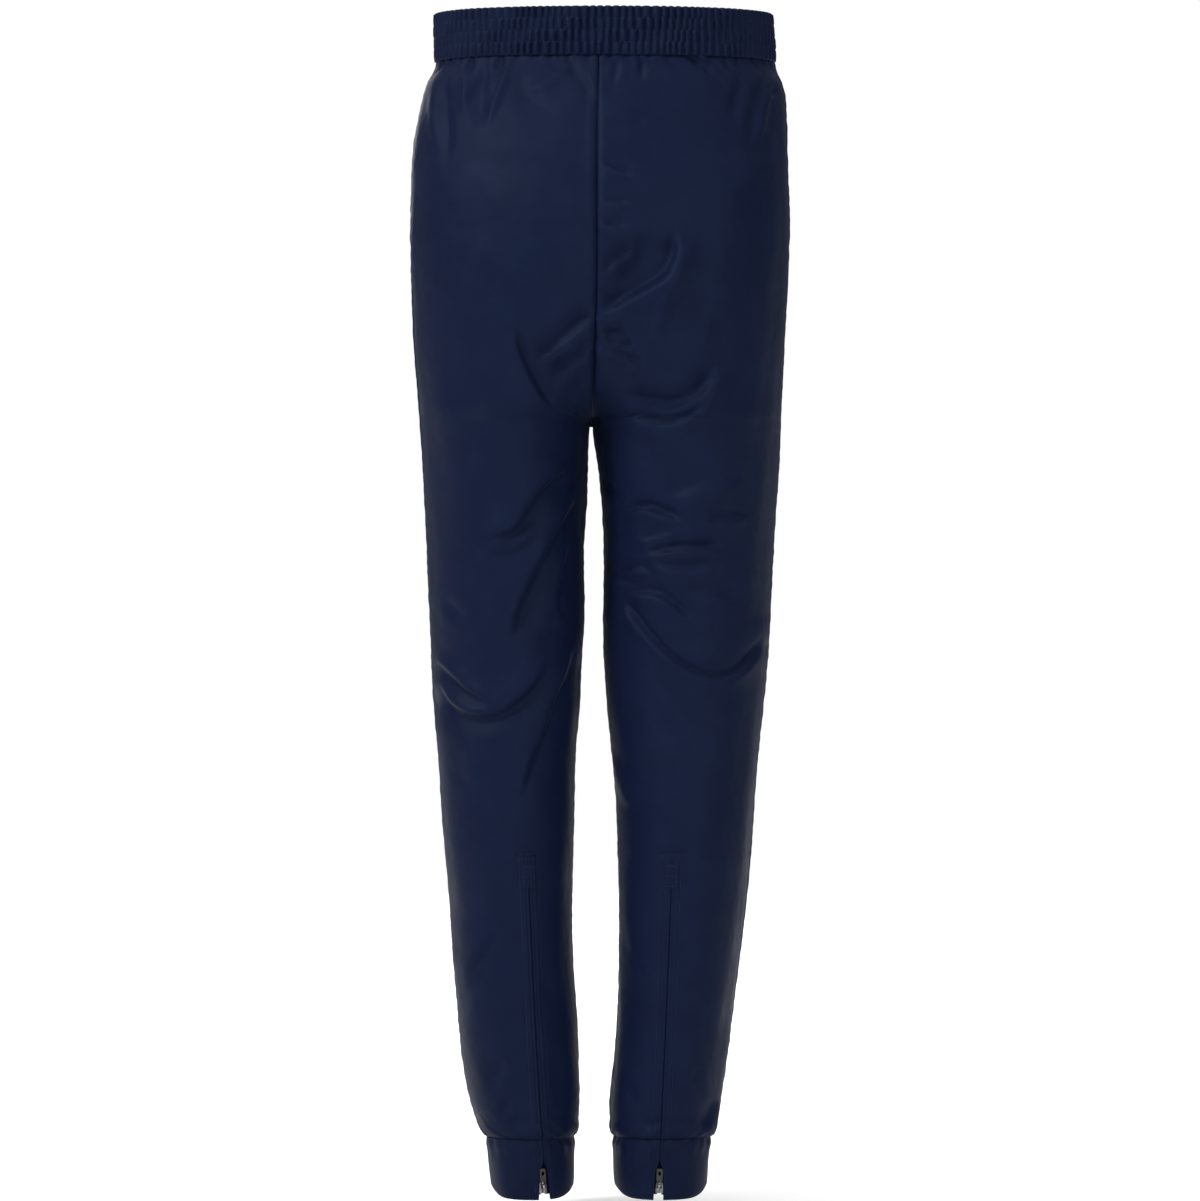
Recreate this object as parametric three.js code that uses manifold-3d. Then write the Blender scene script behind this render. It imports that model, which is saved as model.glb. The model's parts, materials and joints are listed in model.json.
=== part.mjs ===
// Track trousers for hockey training: elasticated waistband, two legs of front and back cloth panels,
// side-seam pockets, knitted cuffs and a coil zip up the back of each lower leg.
//
// Frame: millimetres, +Z up, origin at the centre of the waistband's top rim, where the wearer's waist
// holds the garment. The wearer faces -Y, so the back of the garment faces +Y and the wearer's left is +X.
import * as THREE from "three";
import { mergeVertices } from "three/addons/utils/BufferGeometryUtils.js";
import Module from "manifold-3d";

const wasm = await Module();
wasm.setup();

// ---------------------------------------------------------------- driving dimensions
const HEM_Z = -1050; // bottom of the cuffs
const BAND_H = 42; // waistband height
const CLOTH_T = 1.5; // cloth wall, with its seam allowances
const CUFF_T = 1.9; // doubled knit of the cuff
const CUFF_TOP_Z = -998;
const FORK_Z = -363; // lowest point of the crotch seam
const GAP = 0.5; // gap left along every seam between two pieces

// Horizontal section of each half: outer and inner edge measured from the middle plane, in rows of height.
// A negative inner edge means that the two halves meet at the centre seam.
const MID_X = [ [0, 0], [-42, 1], [-120, 2.6], [-240, 3], [-300, 5], [-363, 7], [-1050, 7] ];
const LEFT_OUT = [ [0, 147], [-42, 146.5], [-48, 146.5], [-62, 154], [-80, 158.4], [-115, 163.7], [-150, 166.4], [-186, 168.2], [-221, 169], [-257, 168.2], [-292, 167.3], [-327, 164.5],
  [-363, 162], [-398, 159.3], [-434, 157.5], [-469, 154.9], [-505, 153], [-540, 151.3], [-575, 149.6], [-611, 147], [-646, 144.3], [-682, 141.5], [-717, 139.5], [-752, 137],
  [-788, 134], [-823, 131.7], [-859, 129.2], [-894, 126.6], [-929, 123], [-965, 116.5], [-982, 110], [-997, 101.5], [-1018, 99], [-1036, 97.5], [-1050, 96.5] ];
const RIGHT_OUT = [ [0, 153], [-42, 155.8], [-48, 156], [-62, 162], [-80, 165.5], [-115, 166.6], [-150, 167.2], [-186, 167.3], [-221, 165.8], [-257, 164.6], [-292, 163], [-327, 161],
  [-363, 159.3], [-398, 158.4], [-434, 156.6], [-469, 154.9], [-505, 153], [-540, 151.3], [-575, 149.6], [-611, 146.3], [-646, 142.8], [-682, 139.8], [-717, 137.3], [-752, 135.2],
  [-788, 131.9], [-823, 127.6], [-859, 123], [-894, 118], [-929, 113.3], [-965, 108], [-982, 104.4], [-997, 99.6], [-1018, 96.8], [-1036, 95.8], [-1050, 95] ];
const LEFT_IN = [ [-363, 8.9], [-380, 9.7], [-398, 10.6], [-434, 11.6], [-469, 14], [-505, 15], [-540, 15.2], [-575, 17.4], [-611, 19.8], [-646, 23.4], [-682, 24.8], [-717, 25.6], [-752, 25.8],
  [-788, 25.6], [-823, 24.8], [-859, 23], [-894, 20.6], [-929, 19.4], [-965, 18.6], [-982, 20.4], [-997, 23.6], [-1018, 24], [-1036, 24.2], [-1050, 25] ];
const RIGHT_IN = [ [-363, -5.2], [-380, -4.6], [-398, -2.4], [-434, 1.4], [-469, 3.2], [-505, 3.6], [-540, 3.6], [-575, 4.6], [-611, 8], [-646, 11.4], [-682, 14.4], [-717, 16.8], [-752, 17.6],
  [-788, 17.8], [-823, 17.6], [-859, 16.8], [-894, 15], [-929, 12.6], [-965, 9.2], [-982, 9.6], [-997, 12.2], [-1018, 12], [-1036, 12.4], [-1050, 13.4] ];
// above the fork the inner edge of each half's section passes the middle plane by this much
const OVER = [ [0, 400], [-110, 400], [-130, 165], [-200, 135], [-250, 105], [-285, 80], [-310, 58], [-330, 38], [-345, 20], [-355, 8], [-363, 0] ];
// middle and half of the front-to-back depth
const DEPTH_MID = [ [0, 0], [-48, 0], [-64, 1], [-80, 2], [-115, 5], [-150, 8], [-186, 10], [-221, 10], [-257, 8], [-292, 5], [-327, 1], [-363, -3], [-398, -5], [-434, -6.5], [-469, -7.5],
  [-505, -8], [-540, -8], [-575, -7.5], [-611, -6], [-646, -4], [-682, -1], [-717, 1.5], [-752, 3], [-788, 3], [-823, 2.2], [-859, 1.5], [-894, 0.6], [-929, -0.2], [-965, -0.8], [-982, -1], [-997, -1.2], [-1018, -1.5], [-1050, -2] ];
const DEPTH_HALF = [ [0, 98], [-42, 99], [-48, 99], [-64, 104], [-80, 108], [-115, 114], [-150, 119], [-186, 122], [-221, 122.5], [-257, 121], [-292, 117.5], [-327, 112], [-363, 106], [-398, 101],
  [-434, 97], [-469, 93.5], [-505, 90], [-540, 87], [-575, 84], [-611, 81.5], [-646, 79.5], [-682, 78], [-717, 77], [-752, 76], [-788, 73.8], [-823, 71.3], [-859, 69], [-894, 66.6], [-929, 64], [-965, 60.6], [-982, 58], [-997, 53.5], [-1018, 52], [-1036, 51.3], [-1050, 51] ];
const SQUARE = [ [0, 2.15], [-60, 2.2], [-150, 2.35], [-300, 2.3], [-400, 2.15], [-1050, 2.15] ]; // superellipse power

// ---------------------------------------------------------------- the surface of the cloth
function at(table, z) {
  if (z >= table[0][0]) return table[0][1];
  const n = table.length;
  if (z <= table[n - 1][0]) return table[n - 1][1];
  let i = 0;
  while (z < table[i + 1][0]) i++;
  const [z0, v0] = table[i], [z1, v1] = table[i + 1];
  const t = (z - z0) / (z1 - z0), h = z1 - z0;
  const before = i > 0 ? (v1 - table[i - 1][1]) / (z1 - table[i - 1][0]) : (v1 - v0) / h;
  const after = i + 2 < n ? (table[i + 2][1] - v0) / (table[i + 2][0] - z0) : (v1 - v0) / h;
  const t2 = t * t, t3 = t2 * t;
  return (2 * t3 - 3 * t2 + 1) * v0 + (t3 - 2 * t2 + t) * h * before + (-2 * t3 + 3 * t2) * v1 + (t3 - t2) * h * after;
}
const power = (c, p) => Math.sign(c) * Math.abs(c) ** p;

// The section of one half at a height, off millimetres inside the outer face. side is 1 for left, -1 for right.
function section(side, z, off) {
  const mid = at(MID_X, z);
  const out = side > 0 ? at(LEFT_OUT, z) - mid : at(RIGHT_OUT, z) + mid;
  let inner;
  if (z >= FORK_Z) inner = Math.max(-out, 1.8 - at(OVER, z));
  else inner = side > 0 ? at(LEFT_IN, z) - mid : at(RIGHT_IN, z) + mid;
  const a = (out - inner) / 2 - off, cx = (out + inner) / 2;
  return { mid, a, cx, cy: at(DEPTH_MID, z), b: at(DEPTH_HALF, z) - off, p: 2 / at(SQUARE, z), inner: inner + off };
}
// u runs from 0 at the front centre seam or inseam, through 0.5 at the side seam, to 1 at the back.
function surface(side, u, z, off) {
  const s = section(side, z, off);
  let reach = Math.PI;
  if (s.inner < GAP / 2) reach = Math.acos(Math.max(-1, Math.min(1, power((GAP / 2 - s.cx) / s.a, 1 / s.p))));
  const t = (2 * u - 1) * reach;
  const x = s.cx + s.a * power(Math.cos(t), s.p), y = s.cy + s.b * power(Math.sin(t), s.p);
  return [s.mid + side * x, y, z];
}

// ---------------------------------------------------------------- solids
function solid(verts, tris) {
  return new wasm.Manifold(new wasm.Mesh({ numProp: 3, vertProperties: new Float32Array(verts.flat()), triVerts: new Uint32Array(tris.flat()) }));
}
// A closed slab of cloth between two offsets of the surface. rows are heights from the top down.
function slab(side, u0, u1, rows, offOut, offIn, nu) {
  const nz = rows.length, verts = [], tris = [];
  for (const off of [offOut, offIn])
    for (const z of rows) for (let i = 0; i <= nu; i++) verts.push(surface(side, u0 + ((u1 - u0) * i) / nu, z, off));
  const id = (k, r, i) => k * nz * (nu + 1) + r * (nu + 1) + i;
  const quad = (a, b, c, d) => tris.push([a, b, c], [a, c, d]);
  for (let r = 0; r < nz - 1; r++)
    for (let i = 0; i < nu; i++) {
      quad(id(0, r, i), id(0, r + 1, i), id(0, r + 1, i + 1), id(0, r, i + 1));
      quad(id(1, r, i), id(1, r, i + 1), id(1, r + 1, i + 1), id(1, r + 1, i));
    }
  for (let r = 0; r < nz - 1; r++) {
    quad(id(0, r, 0), id(1, r, 0), id(1, r + 1, 0), id(0, r + 1, 0));
    quad(id(0, r, nu), id(0, r + 1, nu), id(1, r + 1, nu), id(1, r, nu));
  }
  for (let i = 0; i < nu; i++) {
    quad(id(0, 0, i), id(0, 0, i + 1), id(1, 0, i + 1), id(1, 0, i));
    quad(id(0, nz - 1, i), id(1, nz - 1, i), id(1, nz - 1, i + 1), id(0, nz - 1, i + 1));
  }
  if (side < 0) for (const t of tris) [t[1], t[2]] = [t[2], t[1]];
  return solid(verts, tris);
}
// A closed tube of cloth round one leg, between two offsets of the surface.
function tube(side, rows, offOut, offIn, n) {
  const verts = [], tris = [], loops = [...rows.map((z) => [z, offOut]), ...[...rows].reverse().map((z) => [z, offIn])];
  for (const [z, off] of loops) for (let i = 0; i < n; i++) verts.push(surface(side, i / n, z, off));
  for (let k = 0; k < loops.length; k++)
    for (let i = 0; i < n; i++) {
      const m = (k + 1) % loops.length, a = k * n + i, b = k * n + ((i + 1) % n), c = m * n + ((i + 1) % n), d = m * n + i;
      tris.push(side > 0 ? [a, d, c] : [a, c, d], side > 0 ? [a, c, b] : [a, b, c]);
    }
  return solid(verts, tris);
}
function fromGeometry(geometry, matrix = new THREE.Matrix4()) {
  const g = geometry.clone();
  for (const name of Object.keys(g.attributes)) if (name !== "position") g.deleteAttribute(name);
  g.applyMatrix4(matrix);
  const m = mergeVertices(g, 1e-4);
  return new wasm.Manifold(new wasm.Mesh({ numProp: 3, vertProperties: m.attributes.position.array, triVerts: new Uint32Array(m.index.array) }));
}
function toGeometry(made) {
  const m = made.getMesh(), v = new Float32Array(m.numVert * 3);
  for (let i = 0; i < m.numVert; i++) v.set(m.vertProperties.subarray(i * m.numProp, i * m.numProp + 3), i * 3);
  const g = new THREE.BufferGeometry().setAttribute("position", new THREE.BufferAttribute(v, 3)).setIndex(new THREE.BufferAttribute(new Uint32Array(m.triVerts), 1));
  g.computeVertexNormals();
  return g;
}
const box = (x0, x1, y0, y1, z0, z1) => new THREE.BoxGeometry(x1 - x0, y1 - y0, z1 - z0).translate((x0 + x1) / 2, (y0 + y1) / 2, (z0 + z1) / 2);
const boxSolid = (...b) => fromGeometry(box(...b));
// A prism that covers one side of the body in X, with an outline in Y and Z.
function sidePrism(side, outline) {
  const shape = new THREE.Shape(outline.map(([y, z]) => new THREE.Vector2(y, z)));
  const g = new THREE.ExtrudeGeometry(shape, { depth: 400, bevelEnabled: false });
  // local x, y, z become Y, Z, X
  const m = new THREE.Matrix4().makeBasis(new THREE.Vector3(0, 1, 0), new THREE.Vector3(0, 0, 1), new THREE.Vector3(1, 0, 0));
  m.setPosition(side > 0 ? 7 : 7 - 400, 0, 0);
  return fromGeometry(g, m);
}

// ---------------------------------------------------------------- joints' places
const SWING = { y: -3, z: -388 }; // the leg swings here, just under the fork
const KNEE = { y: -50, z: -600 }; // the knee bends here
const KNEE_WEDGE = Math.tan((40 * Math.PI) / 180), KNEE_BAND = 15; // half of the cloth that folds, behind and in front of the knee
const SEAT_END_Z = -367;
const BEHIND = 125; // clear of the back of the leg

// ---------------------------------------------------------------- the zips: a straight line up the back of each calf
const LIP = 4.7; // from the zip's centre line to the folded edge of the cloth on either side
const ZIP = {
  left: { side: 1, xTop: 62.8, xLow: 48.6 },
  right: { side: -1, xTop: 62.8, xLow: 51.4 },
};
const ZIP_TOP_Z = -772, SLIDER_Z = -1040, ZIP_TRAVEL = 240;
const TAPE_CLEAR = 0.6; // between the tape and the cloth over it
// Where the cloth's back face is at a given X.
function backAt(side, x, z) {
  const local = side * (x - at(MID_X, z)), s = section(side, z, 0);
  const c = power((local - s.cx) / s.a, 1 / s.p);
  return s.cy + s.b * Math.sqrt(Math.max(0, 1 - c * c)) ** s.p;
}
for (const z of Object.values(ZIP)) {
  const low = new THREE.Vector3(z.side * z.xLow, backAt(z.side, z.side * z.xLow, -1048), -1048);
  const top = new THREE.Vector3(z.side * z.xTop, backAt(z.side, z.side * z.xTop, -760), -760);
  const along = top.clone().sub(low).normalize();
  // the cloth's normal halfway up, made square to the line
  const mid = low.clone().lerp(top, 0.4), e = 6;
  const slope = (backAt(z.side, mid.x + e, mid.z) - backAt(z.side, mid.x - e, mid.z)) / (2 * e);
  const out = new THREE.Vector3(-slope, 1, 0).normalize();
  out.addScaledVector(along, -out.dot(along)).normalize();
  const across = out.clone().cross(along).normalize(); // X of the zip's own frame
  const share = (SLIDER_Z - low.z) / (top.z - low.z);
  // the tape is straight, so it lies under the lowest stretch of cloth beside it
  let lowest = 0;
  for (let k = 0; k <= 40; k++)
    for (const x of [-8, -5, 5, 8]) {
      const q = low.clone().lerp(top, k / 40).addScaledVector(across, x);
      lowest = Math.min(lowest, (backAt(z.side, q.x, q.z) - q.y) * out.y);
    }
  const depth = CUFF_T + TAPE_CLEAR + 0.3 - lowest;
  const place = low.clone().lerp(top, share).addScaledVector(out, -depth);
  z.depth = depth;
  z.along = along; z.out = out; z.across = across; z.place = place;
  z.frame = new THREE.Matrix4().makeBasis(across, out, along).setPosition(place);
  z.hem = (HEM_Z + 4 - place.z) / along.z; // the tape's lower end, in the zip's own frame
  z.end = (ZIP_TOP_Z - place.z) / along.z; // and its upper end
}

// ---------------------------------------------------------------- lips: the cloth beside the zip, which parts as the slider goes up
// Each lip turns about a line from the zip's upper end down to a point on the hem.
const LIP_REACH = { outer: 27, inner: 17 }; // along the hem from the zip's centre line
const LIP_OPEN_DEG = 40;
for (const z of Object.values(ZIP))
  for (const which of ["outer", "inner"]) {
    const way = (which === "outer" ? 1 : -1) * z.side; // towards +X or -X
    const top = z.place.clone().addScaledVector(z.along, z.end + 3).addScaledVector(z.out, z.depth);
    top.x += way * (LIP + 0.5); top.y = backAt(z.side, top.x, top.z);
    const hemX = z.side * z.xLow + way * LIP_REACH[which];
    const hem = new THREE.Vector3(hemX, backAt(z.side, hemX, HEM_Z), HEM_Z - 2);
    const axis = hem.clone().sub(top).normalize();
    // outwards at the line, square to it
    const m = top.clone().lerp(hem, 0.6), e = 4;
    const slope = (backAt(z.side, m.x + e, m.z) - backAt(z.side, m.x - e, m.z)) / (2 * e);
    const out = new THREE.Vector3(-slope, 1, 0.1).normalize();
    out.addScaledVector(axis, -out.dot(axis)).normalize();
    // the furthest that the cloth stands out of the line, which the turning line then passes over
    let proud = 0;
    for (let k = 0; k <= 20; k++) {
      const q = top.clone().lerp(hem, k / 20);
      let d = 0;
      for (let it = 0; it < 6; it++) { const w = q.clone().addScaledVector(out, d); d += (backAt(z.side, w.x, w.z) - w.y) * out.y; }
      proud = Math.max(proud, d);
    }
    const place = top.clone().addScaledVector(out, proud + 0.3);
    const towards = axis.clone().cross(out).normalize(); // square to the line, along the cloth
    const zipMid = z.place.clone();
    if (towards.dot(zipMid.clone().sub(place)) < 0) towards.negate(); // points to the zip
    z[which] = { axis, out, place, towards, way };
  }
export const JOINTS = { SWING, KNEE, ZIP, ZIP_TRAVEL, LIP_OPEN_DEG };

// ---------------------------------------------------------------- materials
const cloth = new THREE.MeshStandardMaterial({ color: 0x17203c, roughness: 0.62, metalness: 0 });
const band = new THREE.MeshStandardMaterial({ color: 0x17203c, roughness: 0.68, metalness: 0 });
const knit = new THREE.MeshStandardMaterial({ color: 0x151d38, roughness: 0.8, metalness: 0 });
const elastic = new THREE.MeshStandardMaterial({ color: 0x11162a, roughness: 0.85, metalness: 0 });
const lining = new THREE.MeshStandardMaterial({ color: 0x131a30, roughness: 0.85, metalness: 0 });
const tapeMaterial = new THREE.MeshStandardMaterial({ color: 0x131b36, roughness: 0.75, metalness: 0 });
const coilMaterial = new THREE.MeshStandardMaterial({ color: 0x0f1630, roughness: 0.4, metalness: 0 });
const metal = new THREE.MeshStandardMaterial({ color: 0x8d8d92, roughness: 0.32, metalness: 1 });
const darkMetal = new THREE.MeshStandardMaterial({ color: 0x3c3c40, roughness: 0.4, metalness: 0.9 });
const labelMaterial = new THREE.MeshStandardMaterial({ color: 0xd8d8d4, roughness: 0.8, metalness: 0 });

const trousers = new THREE.Group();
const add = (name, made, material, parent = trousers) => {
  const mesh = new THREE.Mesh(made.isBufferGeometry ? made : toGeometry(made), material);
  mesh.name = name;
  parent.add(mesh);
  return mesh;
};

// ---------------------------------------------------------------- waistband: a casing folded over a wide elastic
const rows = (from, to, step) => {
  const n = Math.max(1, Math.round((from - to) / step));
  return Array.from({ length: n + 1 }, (_, i) => from + ((to - from) * i) / n);
};
// A ring of the waist section: both halves' outlines joined, between two offsets and two heights.
function ring(offOut, offIn, z0, z1, n = 26) {
  const verts = [], tris = [], count = 4 * n;
  const outline = (z, off) => {
    const s = { 1: section(1, z, off), "-1": section(-1, z, off) };
    const pts = [];
    for (let i = 0; i < count; i++) {
      const t = (i / count) * 2 * Math.PI, side = Math.cos(t) >= 0 ? 1 : -1, q = s[side];
      const c = Math.cos(t), y = q.cy + q.b * power(Math.sin(t), q.p);
      pts.push([q.mid + side * (q.cx + q.a) * Math.abs(c) ** q.p, y, z]);
    }
    return pts;
  };
  for (const [z, off] of [[z0, offOut], [z1, offOut], [z1, offIn], [z0, offIn]]) verts.push(...outline(z, off));
  for (let k = 0; k < 4; k++)
    for (let i = 0; i < count; i++) {
      const a = k * count + i, b = k * count + ((i + 1) % count), c = ((k + 1) % 4) * count + ((i + 1) % count), d = ((k + 1) % 4) * count + i;
      tris.push([a, d, b], [b, d, c]);
    }
  return solid(verts, tris);
}
const casing = ring(0, 6, 0, -BAND_H).subtract(ring(1.2, 4.8, -1.4, -BAND_H - 5));
// two short slots in the front of the casing, where a drawcord would leave it
let bandSolid = casing;
for (const s of [1, -1]) bandSolid = bandSolid.subtract(boxSolid(s * 22 - 2.2, s * 22 + 2.2, -104, -96.7, -27, -15));
add("waistband_casing", bandSolid, band);
add("waistband_elastic", ring(1.7, 4.3, -2, -BAND_H + 1), elastic);
for (const [name, s] of [["left", 1], ["right", -1]]) {
  const y = at(DEPTH_MID, -21) - at(DEPTH_HALF, -21);
  const oval = (w, h, depth, forward) => {
    const shape = new THREE.Shape(), pts = [];
    for (let k = 0; k < 20; k++) {
      const t = (k / 20) * 2 * Math.PI;
      pts.push(new THREE.Vector2(w * Math.cos(t), (h - w) * Math.sign(Math.round(Math.sin(t) * 1e6)) + w * Math.sin(t)));
    }
    shape.setFromPoints(pts);
    const g = new THREE.ExtrudeGeometry(shape, { depth, bevelEnabled: false });
    g.applyMatrix4(new THREE.Matrix4().makeBasis(new THREE.Vector3(1, 0, 0), new THREE.Vector3(0, 0, 1), new THREE.Vector3(0, -1, 0)).setPosition(s * 22, y + forward, -21));
    return fromGeometry(g);
  };
  const stitched = oval(3.4, 7.6, 0.9, -0.4).subtract(oval(1.9, 6, 3, 0.5));
  add("drawcord_buttonhole_" + name, stitched, tapeMaterial);
}
// blank woven size label, hanging inside the back of the waistband
add("size_label", boxSolid(-14, 18, 88.9, 89.5, -66, -30), labelMaterial);

// ---------------------------------------------------------------- cloth panels
const HIGH = rows(-BAND_H - GAP, -120, 16), SEAT = rows(-120, -300, 30).slice(1), FORK = [-318, -334, -345, -353, -358.5, FORK_Z];
const LEG = [-368, ...rows(-380, -960, 29), -975, -987, CUFF_TOP_Z + GAP];
const ALL = [...HIGH, ...SEAT, ...FORK, ...LEG];
const E = 0.0016; // half the seam gap, as a share of u
for (const [name, side] of [["left", 1], ["right", -1]]) {
  const zip = ZIP[name];
  const front = slab(side, E, 0.5 - E, ALL, 0, CLOTH_T, 12);
  const back = slab(side, 0.5 + E, 1 - E, ALL, 0, CLOTH_T, 12);
  const cuff = tube(side, rows(CUFF_TOP_Z, HEM_Z, 13), 0, CUFF_T, 32);

  const upper = sidePrism(side, [[-300, 50], [-300, SEAT_END_Z], [300, SEAT_END_Z], [300, 50]]).add(boxSolid(-200, 200, -300, 300, SEAT_END_Z, 50));
  // the thigh's upper edge slopes, so that it clears the seat as the leg swings
  const slope = [[-300, -520], [-109, -468], [103, -409], [BEHIND, -409]];
  const hip = sidePrism(side, [[-300, SEAT_END_Z - GAP], ...slope.map(([y, z]) => [y, z + GAP]), [BEHIND, SEAT_END_Z - GAP]].reverse());
  const w = KNEE_WEDGE, K = KNEE;
  const thigh = sidePrism(side, [...slope, [BEHIND, K.z + (BEHIND - K.y) * w], [K.y, K.z + KNEE_BAND], [-300, K.z + KNEE_BAND]].reverse());
  const b = KNEE_BAND - GAP;
  const fold = sidePrism(side, [[-300, K.z + b], [K.y, K.z + b], [BEHIND, K.z + (BEHIND - K.y) * w - GAP], [BEHIND, K.z - (BEHIND - K.y) * w + GAP], [K.y, K.z - b], [-300, K.z - b]].reverse());
  const shin = sidePrism(side, [[-300, K.z - KNEE_BAND], [K.y, K.z - KNEE_BAND], [BEHIND, K.z - (BEHIND - K.y) * w], [BEHIND, -1200], [-300, -1200]].reverse());

  // pocket: a flat bag inside the front panel, with its mouth in the side seam
  const mouth = slab(side, 0.474, 0.5, rows(-66, -206, 28), -3, 4, 2);
  const bagRows = rows(-60, -262, 34), inRows = rows(-62, -260, 33);
  const bagBody = slab(side, 0.27, 0.4978, bagRows, CLOTH_T + 3, CLOTH_T + 14, 7);
  const bagHollow = slab(side, 0.276, 0.51, inRows, CLOTH_T + 4.2, CLOTH_T + 12.8, 7);
  add("pocket_bag_" + name, bagBody.subtract(bagHollow), lining);

  add(`front_panel_${name}_seat`, front.intersect(upper).subtract(mouth), cloth);
  add(`front_panel_${name}_hip_fold`, front.intersect(hip), cloth);
  add(`front_panel_${name}_thigh`, front.intersect(thigh), cloth);
  add(`front_panel_${name}_shin`, front.intersect(shin), cloth);

  // the zip's slot, cut through the back panel and the cuff
  const slot = fromGeometry(box(-LIP, LIP, -14, 14, -60, zip.end), zip.frame);
  add(`back_panel_${name}_seat`, back.intersect(upper), cloth);
  add(`back_panel_${name}_hip_fold`, back.intersect(hip), cloth);
  add(`back_panel_${name}_thigh`, back.intersect(thigh), cloth);
  // behind the knee the thigh, fold and shin parts meet in a wedge that closes as the knee bends
  const frontOfKnee = front.intersect(fold), backOfKnee = back.intersect(fold);
  add(`front_panel_${name}_knee_fold`, frontOfKnee, cloth);
  add(`back_panel_${name}_knee_fold`, backOfKnee, cloth);
  let rest = back.intersect(shin).subtract(slot), cuffRest = cuff.subtract(slot);
  for (const which of ["outer", "inner"]) {
    const lip = zip[which];
    // the half-space on the zip's side of the lip's turning line
    const basis = new THREE.Matrix4().makeBasis(lip.axis, lip.towards, lip.axis.clone().cross(lip.towards));
    const half = (from) => fromGeometry(box(-60, 340, from, 60, -14, 12), basis.clone().setPosition(lip.place));
    // and on its own side of the zip's centre line
    const own = (up) => fromGeometry(lip.way > 0 ? box(0, 80, -40, 40, -80, up) : box(-80, 0, -40, 40, -80, up), zip.frame);
    add(`back_panel_${name}_lip_${which}`, rest.intersect(half(0.25)).intersect(own(zip.end - 14)), cloth);
    add(`cuff_${name}_end_${which}`, cuffRest.intersect(half(0.25)).intersect(own(zip.end - 14)), knit);
    const away = half(-0.25).intersect(own(zip.end - 13.5));
    rest = rest.subtract(away);
    cuffRest = cuffRest.subtract(away);
  }
  add(`back_panel_${name}_shin`, rest, cloth);
  add(`cuff_${name}`, cuffRest, knit);

  // ---------------- the zip itself, in its own frame: X across, Y out of the leg, Z up the zip
  const group = new THREE.Group();
  group.applyMatrix4(zip.frame);
  trousers.add(group);
  const low = zip.hem, end = zip.end;
  for (const which of ["outer", "inner"]) {
    const s = zip[which].way; // the zip's own X points to +X
    const strip = (x0, x1, y0, y1, z0, z1) => boxSolid(Math.min(s * x0, s * x1), Math.max(s * x0, s * x1), y0, y1, z0, z1);
    // the tape steps back beside the slider's nose
    add(`zip_tape_${name}_${which}`, strip(0.25, 7, -0.3, 0.3, low, end - 1).subtract(strip(0, 1.7, -1, 1, low - 1, -1)), tapeMaterial, group);
    add(`zip_coil_${name}_${which}`, strip(0.3, 2.5, -2.1, -0.6, low + 1, end - 3).subtract(strip(0, 1.7, -3, 1, low - 1, -1)), coilMaterial, group);
  }
  add(`zip_guard_${name}`, boxSolid(-12, 12, -6.4, -5.6, low, end + 6), lining, group);
  // reinforcing patch over the zip's upper end
  const patchPlace = backAt(side, zip.place.x + zip.along.x * (end + 9), zip.place.z + zip.along.z * (end + 9));
  const rise = (patchPlace - zip.place.y - zip.along.y * (end + 9)) * zip.out.y;
  add(`zip_patch_${name}`, boxSolid(-6, 6, rise + 1.6, rise + 2.4, end + 1, end + 19), cloth, group);

  // slider: two plates joined by a nose at the end where the tapes part, and a bridge for the pull
  const plate = (y0, y1) => {
    const sh = new THREE.Shape();
    sh.moveTo(-2.7, 4.8); sh.lineTo(2.7, 4.8); sh.lineTo(3.4, 1.2); sh.lineTo(3.9, -3); sh.lineTo(3.3, -4.8); sh.lineTo(-3.3, -4.8); sh.lineTo(-3.9, -3); sh.lineTo(-3.4, 1.2); sh.closePath();
    const g = new THREE.ExtrudeGeometry(sh, { depth: y1 - y0, bevelEnabled: false });
    g.applyMatrix4(new THREE.Matrix4().makeBasis(new THREE.Vector3(1, 0, 0), new THREE.Vector3(0, 0, 1), new THREE.Vector3(0, -1, 0)).setPosition(0, y1, 0));
    return fromGeometry(g);
  };
  let slider = plate(0.6, 1.8).add(plate(-3.8, -2.5)).add(boxSolid(-1.2, 1.2, -2.6, 0.7, -4.7, -1.8));
  for (const s of [1, -1]) slider = slider.add(boxSolid(s * 3.1 - 0.35, s * 3.1 + 0.35, -2.6, -0.8, -3.4, 2.4));
  const arch = new THREE.Shape();
  arch.moveTo(-3.6, 1.7); arch.lineTo(-3.2, 3.4); arch.quadraticCurveTo(-2.6, 4.5, 0, 4.6); arch.quadraticCurveTo(2.8, 4.5, 3.3, 3.2); arch.lineTo(3.6, 1.7); arch.lineTo(2.5, 1.7); arch.lineTo(2.4, 3.2); arch.quadraticCurveTo(1.6, 3.5, 0, 3.5); arch.quadraticCurveTo(-1.8, 3.5, -2.3, 3.0); arch.lineTo(-2.5, 1.7); arch.closePath();
  const archG = new THREE.ExtrudeGeometry(arch, { depth: 1.6, bevelEnabled: false, curveSegments: 5 });
  archG.applyMatrix4(new THREE.Matrix4().makeBasis(new THREE.Vector3(0, 0, 1), new THREE.Vector3(0, 1, 0), new THREE.Vector3(-1, 0, 0)).setPosition(0.8, 0, 0));
  slider = slider.add(fromGeometry(archG));
  add(`zip_slider_${name}`, slider, metal, group);

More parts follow.
